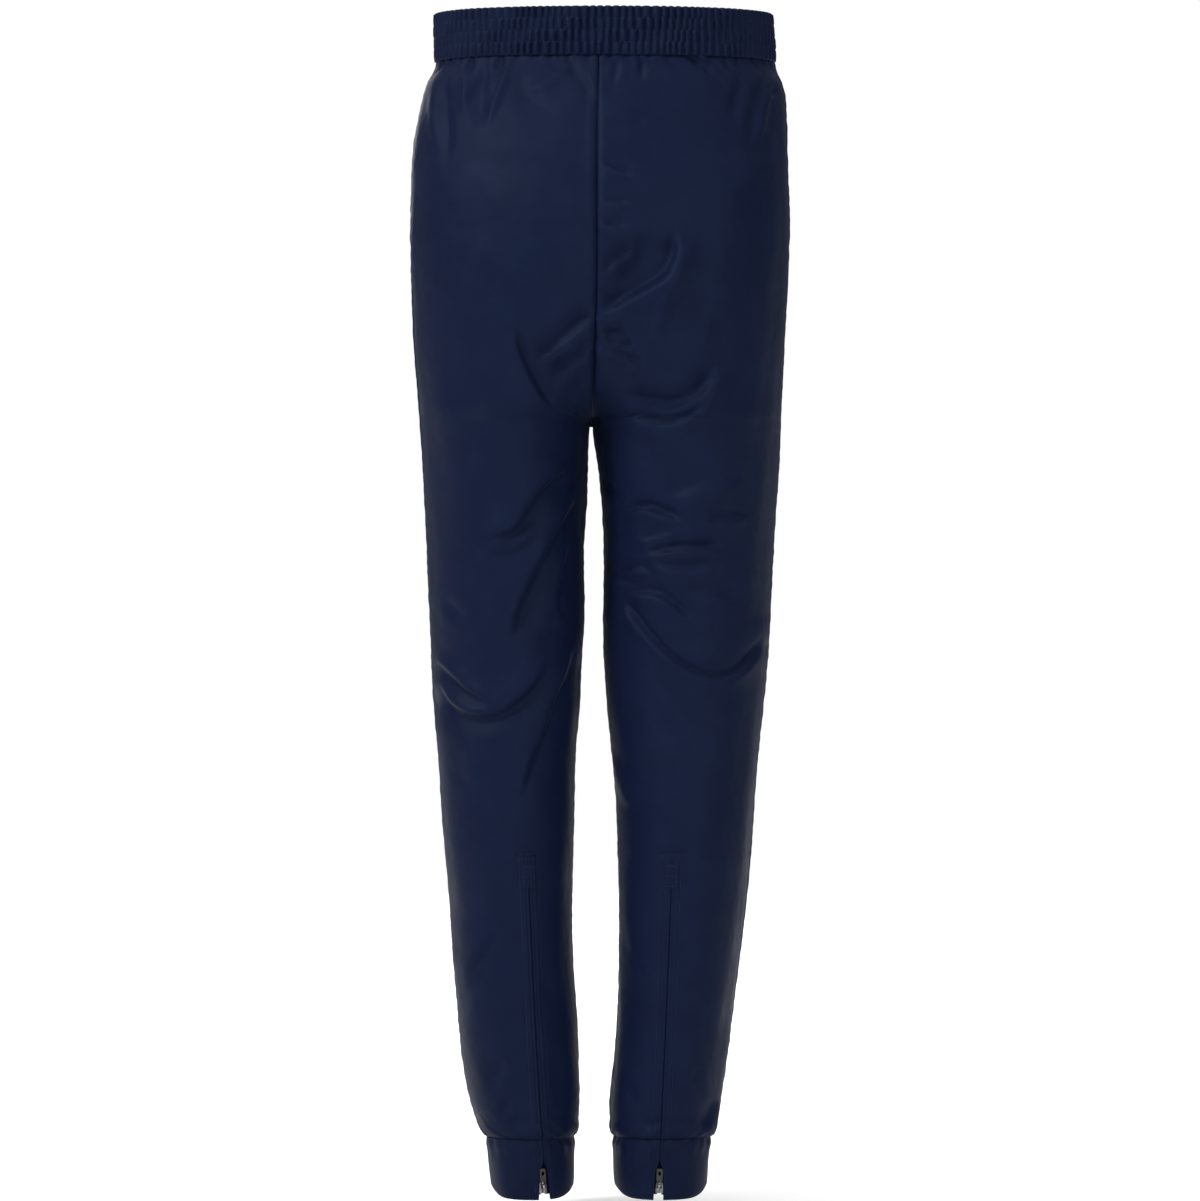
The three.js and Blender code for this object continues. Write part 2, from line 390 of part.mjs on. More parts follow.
  // pull: a crossbar under the bridge, two arms past it and a flat tab, lying up the zip
  const pullZ = 0.4, pullY = 2.66;
  const bar = new THREE.CylinderGeometry(0.5, 0.5, 4.6, 10).rotateZ(Math.PI / 2).translate(0, pullY, pullZ);
  const tab = new THREE.Shape();
  tab.moveTo(-2.3, 5.2); tab.lineTo(-2.9, 7); tab.lineTo(-2.9, 15.3); tab.quadraticCurveTo(-2.8, 16.9, -1.4, 17); tab.lineTo(1.4, 17); tab.quadraticCurveTo(2.8, 16.9, 2.9, 15.3); tab.lineTo(2.9, 7); tab.lineTo(2.3, 5.2); tab.closePath();
  const tabG = new THREE.ExtrudeGeometry(tab, { depth: 1.0, bevelEnabled: false, curveSegments: 5 });
  tabG.applyMatrix4(new THREE.Matrix4().makeBasis(new THREE.Vector3(1, 0, 0), new THREE.Vector3(0, 0, 1), new THREE.Vector3(0, -1, 0)).setPosition(0, pullY + 0.5, pullZ));
  const eye = new THREE.CylinderGeometry(1.3, 1.3, 4, 14).scale(1, 1, 1.45).translate(0, pullY, pullZ + 12.6);
  let pull = fromGeometry(bar).add(fromGeometry(tabG).subtract(fromGeometry(eye)));
  for (const s of [1, -1]) pull = pull.add(boxSolid(s * 1.75 - 0.5, s * 1.75 + 0.5, pullY - 0.46, pullY + 0.46, pullZ - 0.45, pullZ + 5.6));
  add(`zip_pull_${name}`, pull, darkMetal, group);
}

export default trousers;
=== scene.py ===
# Navy knit training trousers with ankle zips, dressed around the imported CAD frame.
# Units here are metres, except where a name ends in _mm. The wearer faces -Y; the back of the garment faces +Y.
import json
import math
import bpy
import numpy as np
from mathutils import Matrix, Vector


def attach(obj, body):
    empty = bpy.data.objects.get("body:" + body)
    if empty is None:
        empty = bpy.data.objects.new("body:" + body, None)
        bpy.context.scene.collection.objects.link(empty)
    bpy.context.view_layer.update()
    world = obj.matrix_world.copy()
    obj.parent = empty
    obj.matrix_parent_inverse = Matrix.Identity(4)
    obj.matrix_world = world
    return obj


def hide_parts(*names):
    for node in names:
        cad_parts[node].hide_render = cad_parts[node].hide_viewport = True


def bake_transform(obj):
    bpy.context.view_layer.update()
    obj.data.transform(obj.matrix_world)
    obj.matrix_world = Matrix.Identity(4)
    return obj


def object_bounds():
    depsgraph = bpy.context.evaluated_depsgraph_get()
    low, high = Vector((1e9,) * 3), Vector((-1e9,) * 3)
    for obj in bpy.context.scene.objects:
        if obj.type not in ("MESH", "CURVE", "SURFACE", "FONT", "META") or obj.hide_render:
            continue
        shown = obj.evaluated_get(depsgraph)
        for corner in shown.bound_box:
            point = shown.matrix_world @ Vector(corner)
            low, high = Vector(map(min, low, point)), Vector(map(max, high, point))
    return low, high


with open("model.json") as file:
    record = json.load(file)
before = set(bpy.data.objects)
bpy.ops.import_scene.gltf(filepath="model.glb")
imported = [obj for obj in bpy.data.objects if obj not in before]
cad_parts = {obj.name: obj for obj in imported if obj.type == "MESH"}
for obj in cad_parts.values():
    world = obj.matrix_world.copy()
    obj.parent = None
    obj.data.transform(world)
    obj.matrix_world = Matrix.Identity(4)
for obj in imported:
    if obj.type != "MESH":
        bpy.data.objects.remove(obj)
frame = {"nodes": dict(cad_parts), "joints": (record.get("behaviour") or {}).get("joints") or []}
cad_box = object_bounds()
joints = {j["name"]: j for j in frame["joints"]}

# ---------------------------------------------------------------- the cloth's surface, as in the CAD (millimetres)
MID_X = [ [0, 0], [-42, 1], [-120, 2.6], [-240, 3], [-300, 5], [-363, 7], [-1050, 7] ]
LEFT_OUT = [ [0, 147], [-42, 146.5], [-48, 146.5], [-62, 154], [-80, 158.4], [-115, 163.7], [-150, 166.4], [-186, 168.2], [-221, 169], [-257, 168.2], [-292, 167.3], [-327, 164.5], [-363, 162], [-398, 159.3], [-434, 157.5], [-469, 154.9], [-505, 153], [-540, 151.3], [-575, 149.6], [-611, 147], [-646, 144.3], [-682, 141.5], [-717, 139.5], [-752, 137], [-788, 134], [-823, 131.7], [-859, 129.2], [-894, 126.6], [-929, 123], [-965, 116.5], [-982, 110], [-997, 101.5], [-1018, 99], [-1036, 97.5], [-1050, 96.5] ]
RIGHT_OUT = [ [0, 153], [-42, 155.8], [-48, 156], [-62, 162], [-80, 165.5], [-115, 166.6], [-150, 167.2], [-186, 167.3], [-221, 165.8], [-257, 164.6], [-292, 163], [-327, 161], [-363, 159.3], [-398, 158.4], [-434, 156.6], [-469, 154.9], [-505, 153], [-540, 151.3], [-575, 149.6], [-611, 146.3], [-646, 142.8], [-682, 139.8], [-717, 137.3], [-752, 135.2], [-788, 131.9], [-823, 127.6], [-859, 123], [-894, 118], [-929, 113.3], [-965, 108], [-982, 104.4], [-997, 99.6], [-1018, 96.8], [-1036, 95.8], [-1050, 95] ]
LEFT_IN = [ [-363, 8.9], [-380, 9.7], [-398, 10.6], [-434, 11.6], [-469, 14], [-505, 15], [-540, 15.2], [-575, 17.4], [-611, 19.8], [-646, 23.4], [-682, 24.8], [-717, 25.6], [-752, 25.8], [-788, 25.6], [-823, 24.8], [-859, 23], [-894, 20.6], [-929, 19.4], [-965, 18.6], [-982, 20.4], [-997, 23.6], [-1018, 24], [-1036, 24.2], [-1050, 25] ]
RIGHT_IN = [ [-363, -5.2], [-380, -4.6], [-398, -2.4], [-434, 1.4], [-469, 3.2], [-505, 3.6], [-540, 3.6], [-575, 4.6], [-611, 8], [-646, 11.4], [-682, 14.4], [-717, 16.8], [-752, 17.6], [-788, 17.8], [-823, 17.6], [-859, 16.8], [-894, 15], [-929, 12.6], [-965, 9.2], [-982, 9.6], [-997, 12.2], [-1018, 12], [-1036, 12.4], [-1050, 13.4] ]
OVER = [ [0, 400], [-110, 400], [-130, 165], [-200, 135], [-250, 105], [-285, 80], [-310, 58], [-330, 38], [-345, 20], [-355, 8], [-363, 0] ]
DEPTH_MID = [ [0, 0], [-48, 0], [-64, 1], [-80, 2], [-115, 5], [-150, 8], [-186, 10], [-221, 10], [-257, 8], [-292, 5], [-327, 1], [-363, -3], [-398, -5], [-434, -6.5], [-469, -7.5], [-505, -8], [-540, -8], [-575, -7.5], [-611, -6], [-646, -4], [-682, -1], [-717, 1.5], [-752, 3], [-788, 3], [-823, 2.2], [-859, 1.5], [-894, 0.6], [-929, -0.2], [-965, -0.8], [-982, -1], [-997, -1.2], [-1018, -1.5], [-1050, -2] ]
DEPTH_HALF = [ [0, 98], [-42, 99], [-48, 99], [-64, 104], [-80, 108], [-115, 114], [-150, 119], [-186, 122], [-221, 122.5], [-257, 121], [-292, 117.5], [-327, 112], [-363, 106], [-398, 101], [-434, 97], [-469, 93.5], [-505, 90], [-540, 87], [-575, 84], [-611, 81.5], [-646, 79.5], [-682, 78], [-717, 77], [-752, 76], [-788, 73.8], [-823, 71.3], [-859, 69], [-894, 66.6], [-929, 64], [-965, 60.6], [-982, 58], [-997, 53.5], [-1018, 52], [-1036, 51.3], [-1050, 51] ]
SQUARE = [ [0, 2.15], [-60, 2.2], [-150, 2.35], [-300, 2.3], [-400, 2.15], [-1050, 2.15] ]
FORK_Z, HEM_Z, BAND_Z, CUFF_Z = -363.0, -1050.0, -42.0, -998.0
ZIPS = {"left": dict(side=1, top=62.8, low=48.6), "right": dict(side=-1, top=62.8, low=51.4)}
ZIP_TOP_Z, STITCH_TOP_Z = -768.0, -745.0


def lut(table):
    """A smooth curve through the table's points, sampled every half millimetre of height."""
    zs = np.arange(0, -1050.5, -0.5)
    n, out = len(table), []
    for z in zs:
        if z >= table[0][0]:
            out.append(table[0][1]); continue
        if z <= table[-1][0]:
            out.append(table[-1][1]); continue
        i = 0
        while z < table[i + 1][0]:
            i += 1
        (z0, v0), (z1, v1) = table[i], table[i + 1]
        h = z1 - z0
        t = (z - z0) / h
        before = (v1 - table[i - 1][1]) / (z1 - table[i - 1][0]) if i > 0 else (v1 - v0) / h
        after = (table[i + 2][1] - v0) / (table[i + 2][0] - z0) if i + 2 < n else (v1 - v0) / h
        t2, t3 = t * t, t * t * t
        out.append((2 * t3 - 3 * t2 + 1) * v0 + (t3 - 2 * t2 + t) * h * before + (-2 * t3 + 3 * t2) * v1 + (t3 - t2) * h * after)
    return np.array(out)


T = {k: lut(v) for k, v in dict(mid=MID_X, lo=LEFT_OUT, ro=RIGHT_OUT, li=LEFT_IN, ri=RIGHT_IN, over=OVER, dm=DEPTH_MID, dh=DEPTH_HALF, sq=SQUARE).items()}


def eased(v):
    """The same outline without the small changes of curvature at the table's points."""
    x = np.arange(-90, 91)
    k = np.exp(-0.5 * (x / 30.0) ** 2)
    k /= k.sum()
    soft = np.convolve(np.pad(v, 90, mode="edge"), k, mode="valid")
    z = np.arange(len(v)) * 0.5
    w = np.clip((z - 58) / 40, 0, 1) * np.clip((978 - z) / 40, 0, 1)
    w = w * w * (3 - 2 * w)
    return v * (1 - w) + soft * w


T = {k: v if k in ("li", "ri", "over") else eased(v) for k, v in T.items()}
_z = -0.5 * np.arange(2101)
T["ri"] = T["ri"] - 2.2 * np.exp(-(((_z + 363) / 22) ** 2))


def at(key, z):
    return np.interp(-np.asarray(z, float), np.arange(0, 1050.5, 0.5), T[key])


def power(c, p):
    return np.sign(c) * np.abs(c) ** p


def section(side, z):
    mid = at("mid", z)
    out = at("lo", z) - mid if side > 0 else at("ro", z) + mid
    low = at("li", z) - mid if side > 0 else at("ri", z) + mid
    inner = np.where(np.asarray(z) >= FORK_Z, np.maximum(-out, 1.8 - at("over", z)), low)
    return mid, (out - inner) / 2, (out + inner) / 2, at("dm", z), at("dh", z), 2 / at("sq", z), inner


def raw(side, u, z, gap=0.18):
    mid, a, cx, cy, b, p, inner = section(side, z)
    c = np.clip(power((gap - cx) / a, 1 / p), -1, 1)
    reach = np.where(inner < gap, np.arccos(c), math.pi)
    t = (2 * u - 1) * reach
    return np.stack([mid + side * (cx + a * power(np.cos(t), p)), cy + b * power(np.sin(t), p), z + 0 * t], -1)


_rows = {}


def row(side, z):
    """u and arc length along each height's outline, front quarter then back quarter, so that points can be spaced evenly."""
    key = (side, round(float(z), 3))
    if key not in _rows:
        u = np.linspace(0, 1, 1201)
        q = raw(side, u, np.full(u.shape, float(z)))
        s = np.concatenate([[0], np.cumsum(np.linalg.norm(np.diff(q, axis=0), axis=1))])
        _rows[key] = (u, s, s[600], q)
    return _rows[key]


def u_at_arc(side, z, s):
    u, arc, _, _ = row(side, z)
    return np.interp(s, arc, u)


# ---------------------------------------------------------------- seeded smooth noise
def waves(seed, n, low, high, stretch=(1, 1, 1)):
    rng = np.random.default_rng(seed)
    k = rng.normal(size=(n, 3))
    k /= np.linalg.norm(k, axis=1)[:, None]
    k *= (2 * math.pi / rng.uniform(low, high, n))[:, None] / np.array(stretch)
    ph = rng.uniform(0, 2 * math.pi, n)
    return lambda P: sum(np.sin(P @ k[i] + ph[i]) for i in range(n)) / math.sqrt(n / 2)


broad = waves(3, 12, 130, 300, (1, 1, 1.8))
ripple = waves(5, 16, 34, 80, (0.8, 0.8, 1.6))
fine = waves(9, 18, 9, 22)


def smooth(x, a, b):
    t = np.clip((x - a) / (b - a), 0, 1)
    return t * t * (3 - 2 * t)


# ---------------------------------------------------------------- folds, drawn as strokes on the back's and front's elevation
# kind, half-width, depth in mm, softness of the ends, points. Points are in units of 0.885 mm, measured right and down from
# (600, 10) at the waist as seen from behind. v is a valley, r a ridge, s a fold: high to the left of its direction, low to the right.
BACK_FOLDS = [
    # left hip, under the waistband
    ("v", 5, 2.4, 0.35, [(447, 58), (446, 95), (448, 130), (449, 178)]),
    ("r", 5, 2.5, 0.4, [(436, 66), (434, 110), (437, 150)]),
    ("v", 7, 4.2, 0.3, [(487, 56), (482, 84), (480, 106), (479, 132)]),
    ("r", 3, 3.2, 0.35, [(512, 56), (503, 84), (494, 108), (485, 132)]),
    ("r", 4, 2.6, 0.35, [(463, 58), (466, 88), (463, 120)]),
    ("v", 4, 3.2, 0.35, [(470, 56), (468, 78)]),
    ("v", 4, 2.6, 0.35, [(499, 54), (497, 70), (492, 84)]),
    ("s", 3, 2.2, 0.3, [(566, 64), (548, 77), (528, 89)]),
    ("v", 5, 3.2, 0.35, [(569, 51), (575, 72), (588, 90), (593, 108)]),
    ("v", 9, 2.4, 0.5, [(515, 62), (530, 100), (560, 118)]),
    # right hip
    ("v", 4, 1.8, 0.35, [(768, 66), (758, 92), (751, 122), (749, 158)]),
    ("r", 4, 2.2, 0.35, [(776, 72), (764, 110), (757, 150)]),
    ("v", 4, 2.8, 0.35, [(778, 86), (769, 96)]),
    ("v", 5, 2.4, 0.35, [(742, 64), (738, 92), (731, 124)]),
    ("v", 3, 2.6, 0.35, [(642, 54), (642, 82)]),
    ("s", 3, 2.4, 0.35, [(679, 52), (693, 56), (712, 62)]),
    ("v", 3, 2.0, 0.35, [(619, 54), (612, 88)]),
    ("v", 3, 1.8, 0.35, [(708, 58), (709, 76)]),
    ("v", 6, 1.2, 0.4, [(628, 118), (650, 121)]),
    # drag lines from the centre seam
    ("s", 4, 3.4, 0.4, [(636, 180), (616, 170), (601, 163)]),
    ("s", 3.5, 3.6, 0.4, [(630, 205), (616, 203), (601, 200)]),
    ("s", 3.5, 3.6, 0.4, [(628, 229), (614, 226), (601, 222)]),
    ("s", 5, 4.2, 0.35, [(633, 240), (627, 252), (614, 262), (602, 278)]),
    # the great fold across the crotch, left and right
    ("s", 7, 7.5, 0.18, [(676, 228), (674, 256), (662, 276), (640, 290), (618, 303), (598, 316)]),
    ("r", 6, 2.8, 0.3, [(683, 262), (676, 284), (664, 305), (655, 345)]),
    ("s", 3.6, 5.6, 0.25, [(628, 338), (616, 337), (600, 333)]),
    ("s", 3.6, 5.2, 0.25, [(636, 348), (618, 345), (604, 340)]),
    ("s", 4, 4.2, 0.2, [(645, 367), (630, 361), (612, 351), (596, 345)]),
    ("s", 6, 5.6, 0.2, [(603, 312), (585, 322), (566, 338), (549, 353), (536, 366)]),
    ("s", 5, 4.2, 0.25, [(601, 336), (584, 352), (568, 366), (553, 380)]),
    ("s", 5, 4.6, 0.25, [(555, 412), (541, 392), (527, 366), (519, 344), (517, 322)]),
    ("r", 6, 2.4, 0.35, [(579, 374), (567, 386), (560, 398)]),
    ("v", 17, 10.0, 0.45, [(662, 228), (638, 262), (602, 288)]),
    ("v", 16, 7.0, 0.5, [(526, 334), (560, 378), (584, 424)]),
    ("v", 26, 2.6, 0.5, [(556, 420), (566, 500), (560, 560)]),
    # seat crescents of the right half
    ("s", 8, 6.5, 0.2, [(716, 362), (710, 382), (695, 399), (672, 408), (648, 406), (619, 396)]),
    ("r", 4, 2.8, 0.25, [(622, 400), (642, 410), (664, 413), (684, 407), (703, 390)]),
    ("s", 6, 4.0, 0.25, [(712, 398), (694, 414), (668, 424), (644, 420), (622, 408)]),
    ("r", 8, 1.6, 0.4, [(716, 300), (706, 340), (700, 372)]),
    # left thigh
    ("s", 8, 6.0, 0.22, [(478, 532), (496, 535), (515, 530), (532, 506), (552, 484), (580, 466)]),
    ("r", 4, 2.0, 0.3, [(486, 540), (506, 542), (522, 536), (540, 520)]),
    ("s", 6, 3.2, 0.3, [(482, 552), (500, 553), (520, 548), (540, 532)]),
    ("s", 8, 5.6, 0.18, [(512, 640), (519, 612), (533, 580), (550, 548), (566, 522), (582, 496)]),
    ("s", 6, 3.8, 0.3, [(570, 632), (558, 606), (564, 570), (573, 540)]),
    ("v", 6, 1.8, 0.4, [(508, 640), (512, 668), (502, 688)]),
    # left knee
    ("s", 5, 4.0, 0.3, [(434, 658), (452, 676), (474, 694), (498, 707)]),
    ("s", 7, 5.6, 0.2, [(438, 680), (452, 704), (474, 717), (498, 715), (520, 700), (536, 682), (548, 662)]),
    ("v", 5, 2.0, 0.35, [(446, 596), (458, 612), (470, 622)]),
    ("s", 8, 3.8, 0.22, [(520, 800), (530, 768), (543, 734), (554, 700), (566, 672), (574, 640)]),
    ("r", 7, 1.4, 0.4, [(470, 735), (472, 762), (476, 790)]),
    # right thigh
    ("v", 4, 2.8, 0.35, [(606, 478), (612, 492), (624, 497)]),
    ("v", 12, 2.4, 0.45, [(626, 470), (646, 454), (668, 446)]),
    ("s", 9, 3.0, 0.35, [(748, 478), (720, 482), (690, 490), (662, 500)]),
    ("s", 4, 5.6, 0.25, [(684, 522), (662, 514), (642, 508), (618, 514)]),
    ("s", 4, 3.0, 0.3, [(752, 514), (728, 518), (704, 524)]),
    ("s", 5, 2.4, 0.3, [(678, 530), (656, 536), (634, 541)]),
    ("s", 4, 5.6, 0.22, [(728, 546), (704, 549), (680, 549), (658, 552), (640, 556)]),
    ("s", 5, 3.4, 0.25, [(716, 560), (696, 568), (672, 568), (648, 561)]),
    ("s", 3, 3.4, 0.25, [(652, 573), (634, 568), (614, 575)]),
    ("s", 3, 2.8, 0.25, [(650, 578), (630, 583), (611, 578)]),
    ("s", 4, 5.0, 0.25, [(694, 622), (672, 604), (652, 593), (620, 593)]),
    ("v", 6, 3.0, 0.3, [(682, 590), (712, 590), (744, 597)]),
    ("v", 9, 1.8, 0.4, [(655, 632), (680, 638), (712, 634)]),
    # right knee
    ("v", 2.6, 2.6, 0.10, [(762, 632), (752, 656), (736, 672), (716, 677), (690, 669), (664, 650), (640, 624), (622, 598)]),
    ("s", 4.2, 3.4, 0.12, [(757, 640), (750, 658), (736, 672), (716, 677), (690, 669), (664, 650), (640, 624), (622, 598)]),
    ("v", 7, 1.6, 0.4, [(648, 650), (668, 690), (692, 724), (722, 772)]),
    ("v", 7, 1.3, 0.4, [(640, 684), (664, 728), (692, 768)]),
    ("r", 5, 1.8, 0.3, [(612, 748), (622, 784), (636, 812)]),
    ("r", 10, 1.5, 0.4, [(762, 612), (762, 632), (757, 648)]),
    # left calf
    ("s", 9, 3.4, 0.35, [(464, 990), (474, 966), (488, 942), (498, 924)]),
    ("r", 9, 2.2, 0.35, [(466, 1032), (476, 1000), (490, 974), (500, 952)]),
    ("v", 7, 3.0, 0.35, [(486, 1092), (496, 1074), (504, 1056)]),
    ("v", 5, 2.4, 0.35, [(498, 1116), (512, 1104)]),
    ("v", 8, 1.5, 0.4, [(560, 1062), (558, 1020), (553, 990), (548, 962)]),
    ("v", 7, 1.5, 0.4, [(562, 1124), (559, 1092), (556, 1060), (553, 1036)]),
    # right calf
    ("r", 6, 1.6, 0.35, [(624, 850), (626, 900), (630, 958)]),
    ("v", 6, 2.0, 0.35, [(624, 1098), (636, 1086)]),
    ("v", 6, 1.8, 0.35, [(692, 1070), (702, 1082)]),
    ("s", 6, 3.6, 0.3, [(718, 1098), (712, 1118), (698, 1130)]),
    ("v", 7, 1.6, 0.35, [(634, 972), (642, 964)]),
    ("v", 6, 1.8, 0.35, [(626, 1128), (645, 1124), (668, 1126), (690, 1124)]),
    ("v", 5, 2.0, 0.35, [(500, 1128), (520, 1122), (545, 1128)]),
    # cuffs
    ("v", 6, 1.2, 0.4, [(500, 1156), (516, 1163), (534, 1162)]),
    ("v", 5, 1.0, 0.4, [(504, 1176), (520, 1182)]),
    ("v", 6, 1.0, 0.4, [(676, 1150), (694, 1148)]),
]
FRONT_FOLDS = [
    ("v", 6, 4.0, 0.35, [(440, 60), (441, 100), (444, 150)]),
    ("v", 5, 3.4, 0.35, [(478, 58), (480, 92), (478, 118)]),
    ("v", 5, 3.0, 0.35, [(768, 64), (760, 96), (752, 140)]),
    ("v", 5, 2.6, 0.35, [(724, 58), (720, 92)]),
    ("s", 7, 4.6, 0.25, [(602, 392), (580, 376), (552, 352), (528, 322)]),
    ("s", 6, 3.8, 0.25, [(600, 372), (574, 350), (556, 330)]),
    ("s", 7, 4.6, 0.25, [(682, 318), (656, 348), (628, 376), (606, 394)]),
    ("s", 6, 3.6, 0.25, [(652, 330), (630, 354), (604, 376)]),
    ("v", 10, 2.0, 0.4, [(470, 520), (500, 540), (540, 530)]),
    ("v", 9, 2.0, 0.4, [(640, 560), (680, 575), (724, 560)]),
    ("s", 8, 3.4, 0.3, [(560, 600), (520, 622), (470, 610)]),
    ("s", 8, 3.0, 0.3, [(740, 640), (690, 655), (640, 640)]),
    ("v", 10, 2.2, 0.4, [(450, 700), (490, 720), (540, 705)]),
    ("v", 12, 1.8, 0.4, [(500, 800), (480, 860), (486, 920)]),
    ("v", 12, 1.8, 0.4, [(700, 790), (716, 860), (700, 930)]),
    ("s", 8, 3.4, 0.3, [(470, 1080), (510, 1100), (556, 1090)]),
    ("s", 8, 3.0, 0.3, [(626, 1090), (670, 1106), (706, 1084)]),
    ("v", 6, 2.4, 0.35, [(500, 1124), (520, 1112), (540, 1122)]),
    ("v", 6, 2.4, 0.35, [(650, 1124), (672, 1114), (694, 1122)]),
]
VIEW_D_MM, VIEW_Z_MM, VIEW_MM = 6500.0, -521.0, 0.889


def elevation(P, way):
    """Where each point stands in the elevation seen from behind (way 1) or in front (way -1)."""
    k = VIEW_D_MM / (VIEW_D_MM - way * P[..., 1])
    return 600 - way * P[..., 0] * k / VIEW_MM, 600.5 - (P[..., 2] - VIEW_Z_MM) * k / VIEW_MM


def stroke(X, Y, fold):
    kind, width, depth, ends, pts = fold
    pts = np.array(pts, float)
    # a smooth line through the points
    t = np.arange(len(pts))
    tt = np.linspace(0, len(pts) - 1, 8 * (len(pts) - 1) + 1)
    if len(pts) > 2:
        m = np.gradient(pts, axis=0)
        i = np.minimum(tt.astype(int), len(pts) - 2)
        f = (tt - i)[:, None]
        pts = (2 * f**3 - 3 * f**2 + 1) * pts[i] + (f**3 - 2 * f**2 + f) * m[i] + (-2 * f**3 + 3 * f**2) * pts[i + 1] + (f**3 - f**2) * m[i + 1]
    lo, hi = pts.min(0) - 6 * width, pts.max(0) + 6 * width
    near = (X > lo[0]) & (X < hi[0]) & (Y > lo[1]) & (Y < hi[1])
    out = np.zeros(X.shape)
    if not near.any():
        return out
    x, y = X[near], Y[near]
    seg = np.linalg.norm(np.diff(pts, axis=0), axis=1)
    arc = np.concatenate([[0], np.cumsum(seg)])
    best, along, sign = np.full(x.shape, 1e9), np.zeros(x.shape), np.zeros(x.shape)
    for j in range(len(pts) - 1):
        a, d = pts[j], pts[j + 1] - pts[j]
        f = np.clip(((x - a[0]) * d[0] + (y - a[1]) * d[1]) / (d @ d), 0, 1)
        dx, dy = x - a[0] - f * d[0], y - a[1] - f * d[1]
        dist = np.hypot(dx, dy)
        closer = dist < best
        best = np.where(closer, dist, best)
        along = np.where(closer, (arc[j] + f * seg[j]) / arc[-1], along)
        sign = np.where(closer, np.sign(d[0] * dy - d[1] * dx), sign)
    fade = smooth(along, 0, ends) * smooth(1 - along, 0, ends)
    w = width * (0.55 + 0.45 * fade)
    r = best / w
    if kind == "v":
        h = -np.exp(-(r**2) * 0.8) + 0.14 * np.exp(-((r - 2.2) ** 2) * 0.7)
    elif kind == "r":
        h = np.exp(-(r**2) * 0.8) - 0.12 * np.exp(-((r - 2.2) ** 2) * 0.7)
    else:
        d = -sign * r
        h = 0.56 * np.where(d > 0.75, np.exp(-(((d - 0.75) / 2.5) ** 2)), np.exp(-(((d - 0.75) / 0.75) ** 2)))
        h -= 0.62 * np.where(d < -0.35, np.exp(-(((d + 0.35) / 2.0) ** 2)), np.exp(-(((d + 0.35) / 0.62) ** 2)))
        h -= 0.22 * np.exp(-(((d + 0.25) / 0.5) ** 2))
    out[near] = h * depth * (1.25 if kind == "s" else 1.0) * fade
    return out


# pleats that fall from the waistband: position round the waist, length, half-width, depth, lean
_rng = np.random.default_rng(21)
PLEATS = []
_s = 0.0
while _s < 980:
    _s += _rng.uniform(7, 17)
    PLEATS.append((_s, _rng.choice([14, 22, 34, 52, 80], p=[0.3, 0.28, 0.2, 0.14, 0.08]) * _rng.uniform(0.8, 1.25), _rng.uniform(1.7, 3.6), _rng.uniform(1.1, 2.8), _rng.uniform(-0.18, 0.18)))


def pleats(s, z):
    """Height of the gathers under the waistband, for distance round the waist and height."""
    h = np.zeros(s.shape)
    d = BAND_Z - z
    for s0, length, width, depth, lean in PLEATS:
        fade = np.clip(1 - d / length, 0, 1) ** 1.4
        w = width * (1 + 0.9 * np.clip(d / length, 0, 1))
        q = (s - s0 - lean * d) / w
        h -= depth * fade * np.exp(-q * q)
    return h


def relief(side, P, arc, quarter_arc, z, u):
    """Height of the cloth above the plain surface, in mm."""
    back = smooth(P[..., 1] - at("dm", z), 4, 22)
    front = smooth(at("dm", z) - P[..., 1], 4, 22)
    h = 1.5 * broad(P) * smooth(-z, 60, 160)
    h += 0.32 * ripple(P) * smooth(-z, 50, 90) + 0.07 * fine(P)
    X, Y = elevation(P, 1)
    for f in BACK_FOLDS:
        h += back * stroke(X, Y, f)
    X, Y = elevation(P, -1)
    for f in FRONT_FOLDS:
        h += front * stroke(X, Y, f)
    waist = arc if side > 0 else 980 - arc
    h += pleats(waist * 0.93 + (0 if side > 0 else 7), z)
    # the cloth gathers again where it is sewn to the cuff
    g = np.clip((z - CUFF_Z) / 30, 0, 1)
    h += (1 - g) ** 1.5 * (0.9 * np.sin(arc / 2.35 + 2 * np.sin(arc / 17)) + 0.7 * np.sin(arc / 4.4 + 1.3)) * smooth(z, CUFF_Z - 1, CUFF_Z + 4)
    return h


# ---------------------------------------------------------------- mesh helpers
def mesh_object(name, verts_mm, quads, uv=None, flat=None):
    me = bpy.data.meshes.new(name)
    v = np.asarray(verts_mm, np.float32) / 1000
    q = np.asarray(quads, np.int32)
    me.vertices.add(len(v))
    me.vertices.foreach_set("co", v.ravel())
    me.loops.add(q.size)
    me.loops.foreach_set("vertex_index", q.ravel())
    me.polygons.add(len(q))
    me.polygons.foreach_set("loop_start", np.arange(0, q.size, q.shape[1], dtype=np.int32))
    me.polygons.foreach_set("loop_total", np.full(len(q), q.shape[1], np.int32))
    smooth_faces = np.ones(len(q), bool)
    if flat is not None:
        smooth_faces[flat] = False
    me.polygons.foreach_set("use_smooth", smooth_faces)
    if uv is not None:
        layer = me.uv_layers.new(name="UVMap")
        layer.data.foreach_set("uv", (np.asarray(uv, np.float32)[q.ravel()]).ravel())
    me.update(calc_edges=True)
    me.validate()
    if flat is not None and len(me.polygons) == len(q):
        loops = np.zeros(len(me.loops), np.int32)
        me.loops.foreach_get("edge_index", loops)
        hard = np.zeros(len(me.edges), bool)
        hard[loops.reshape(len(q), -1)[flat].ravel()] = True
        me.edges.foreach_set("use_edge_sharp", hard)
    o = bpy.data.objects.new(name, me)
    bpy.context.scene.collection.objects.link(o)
    return o


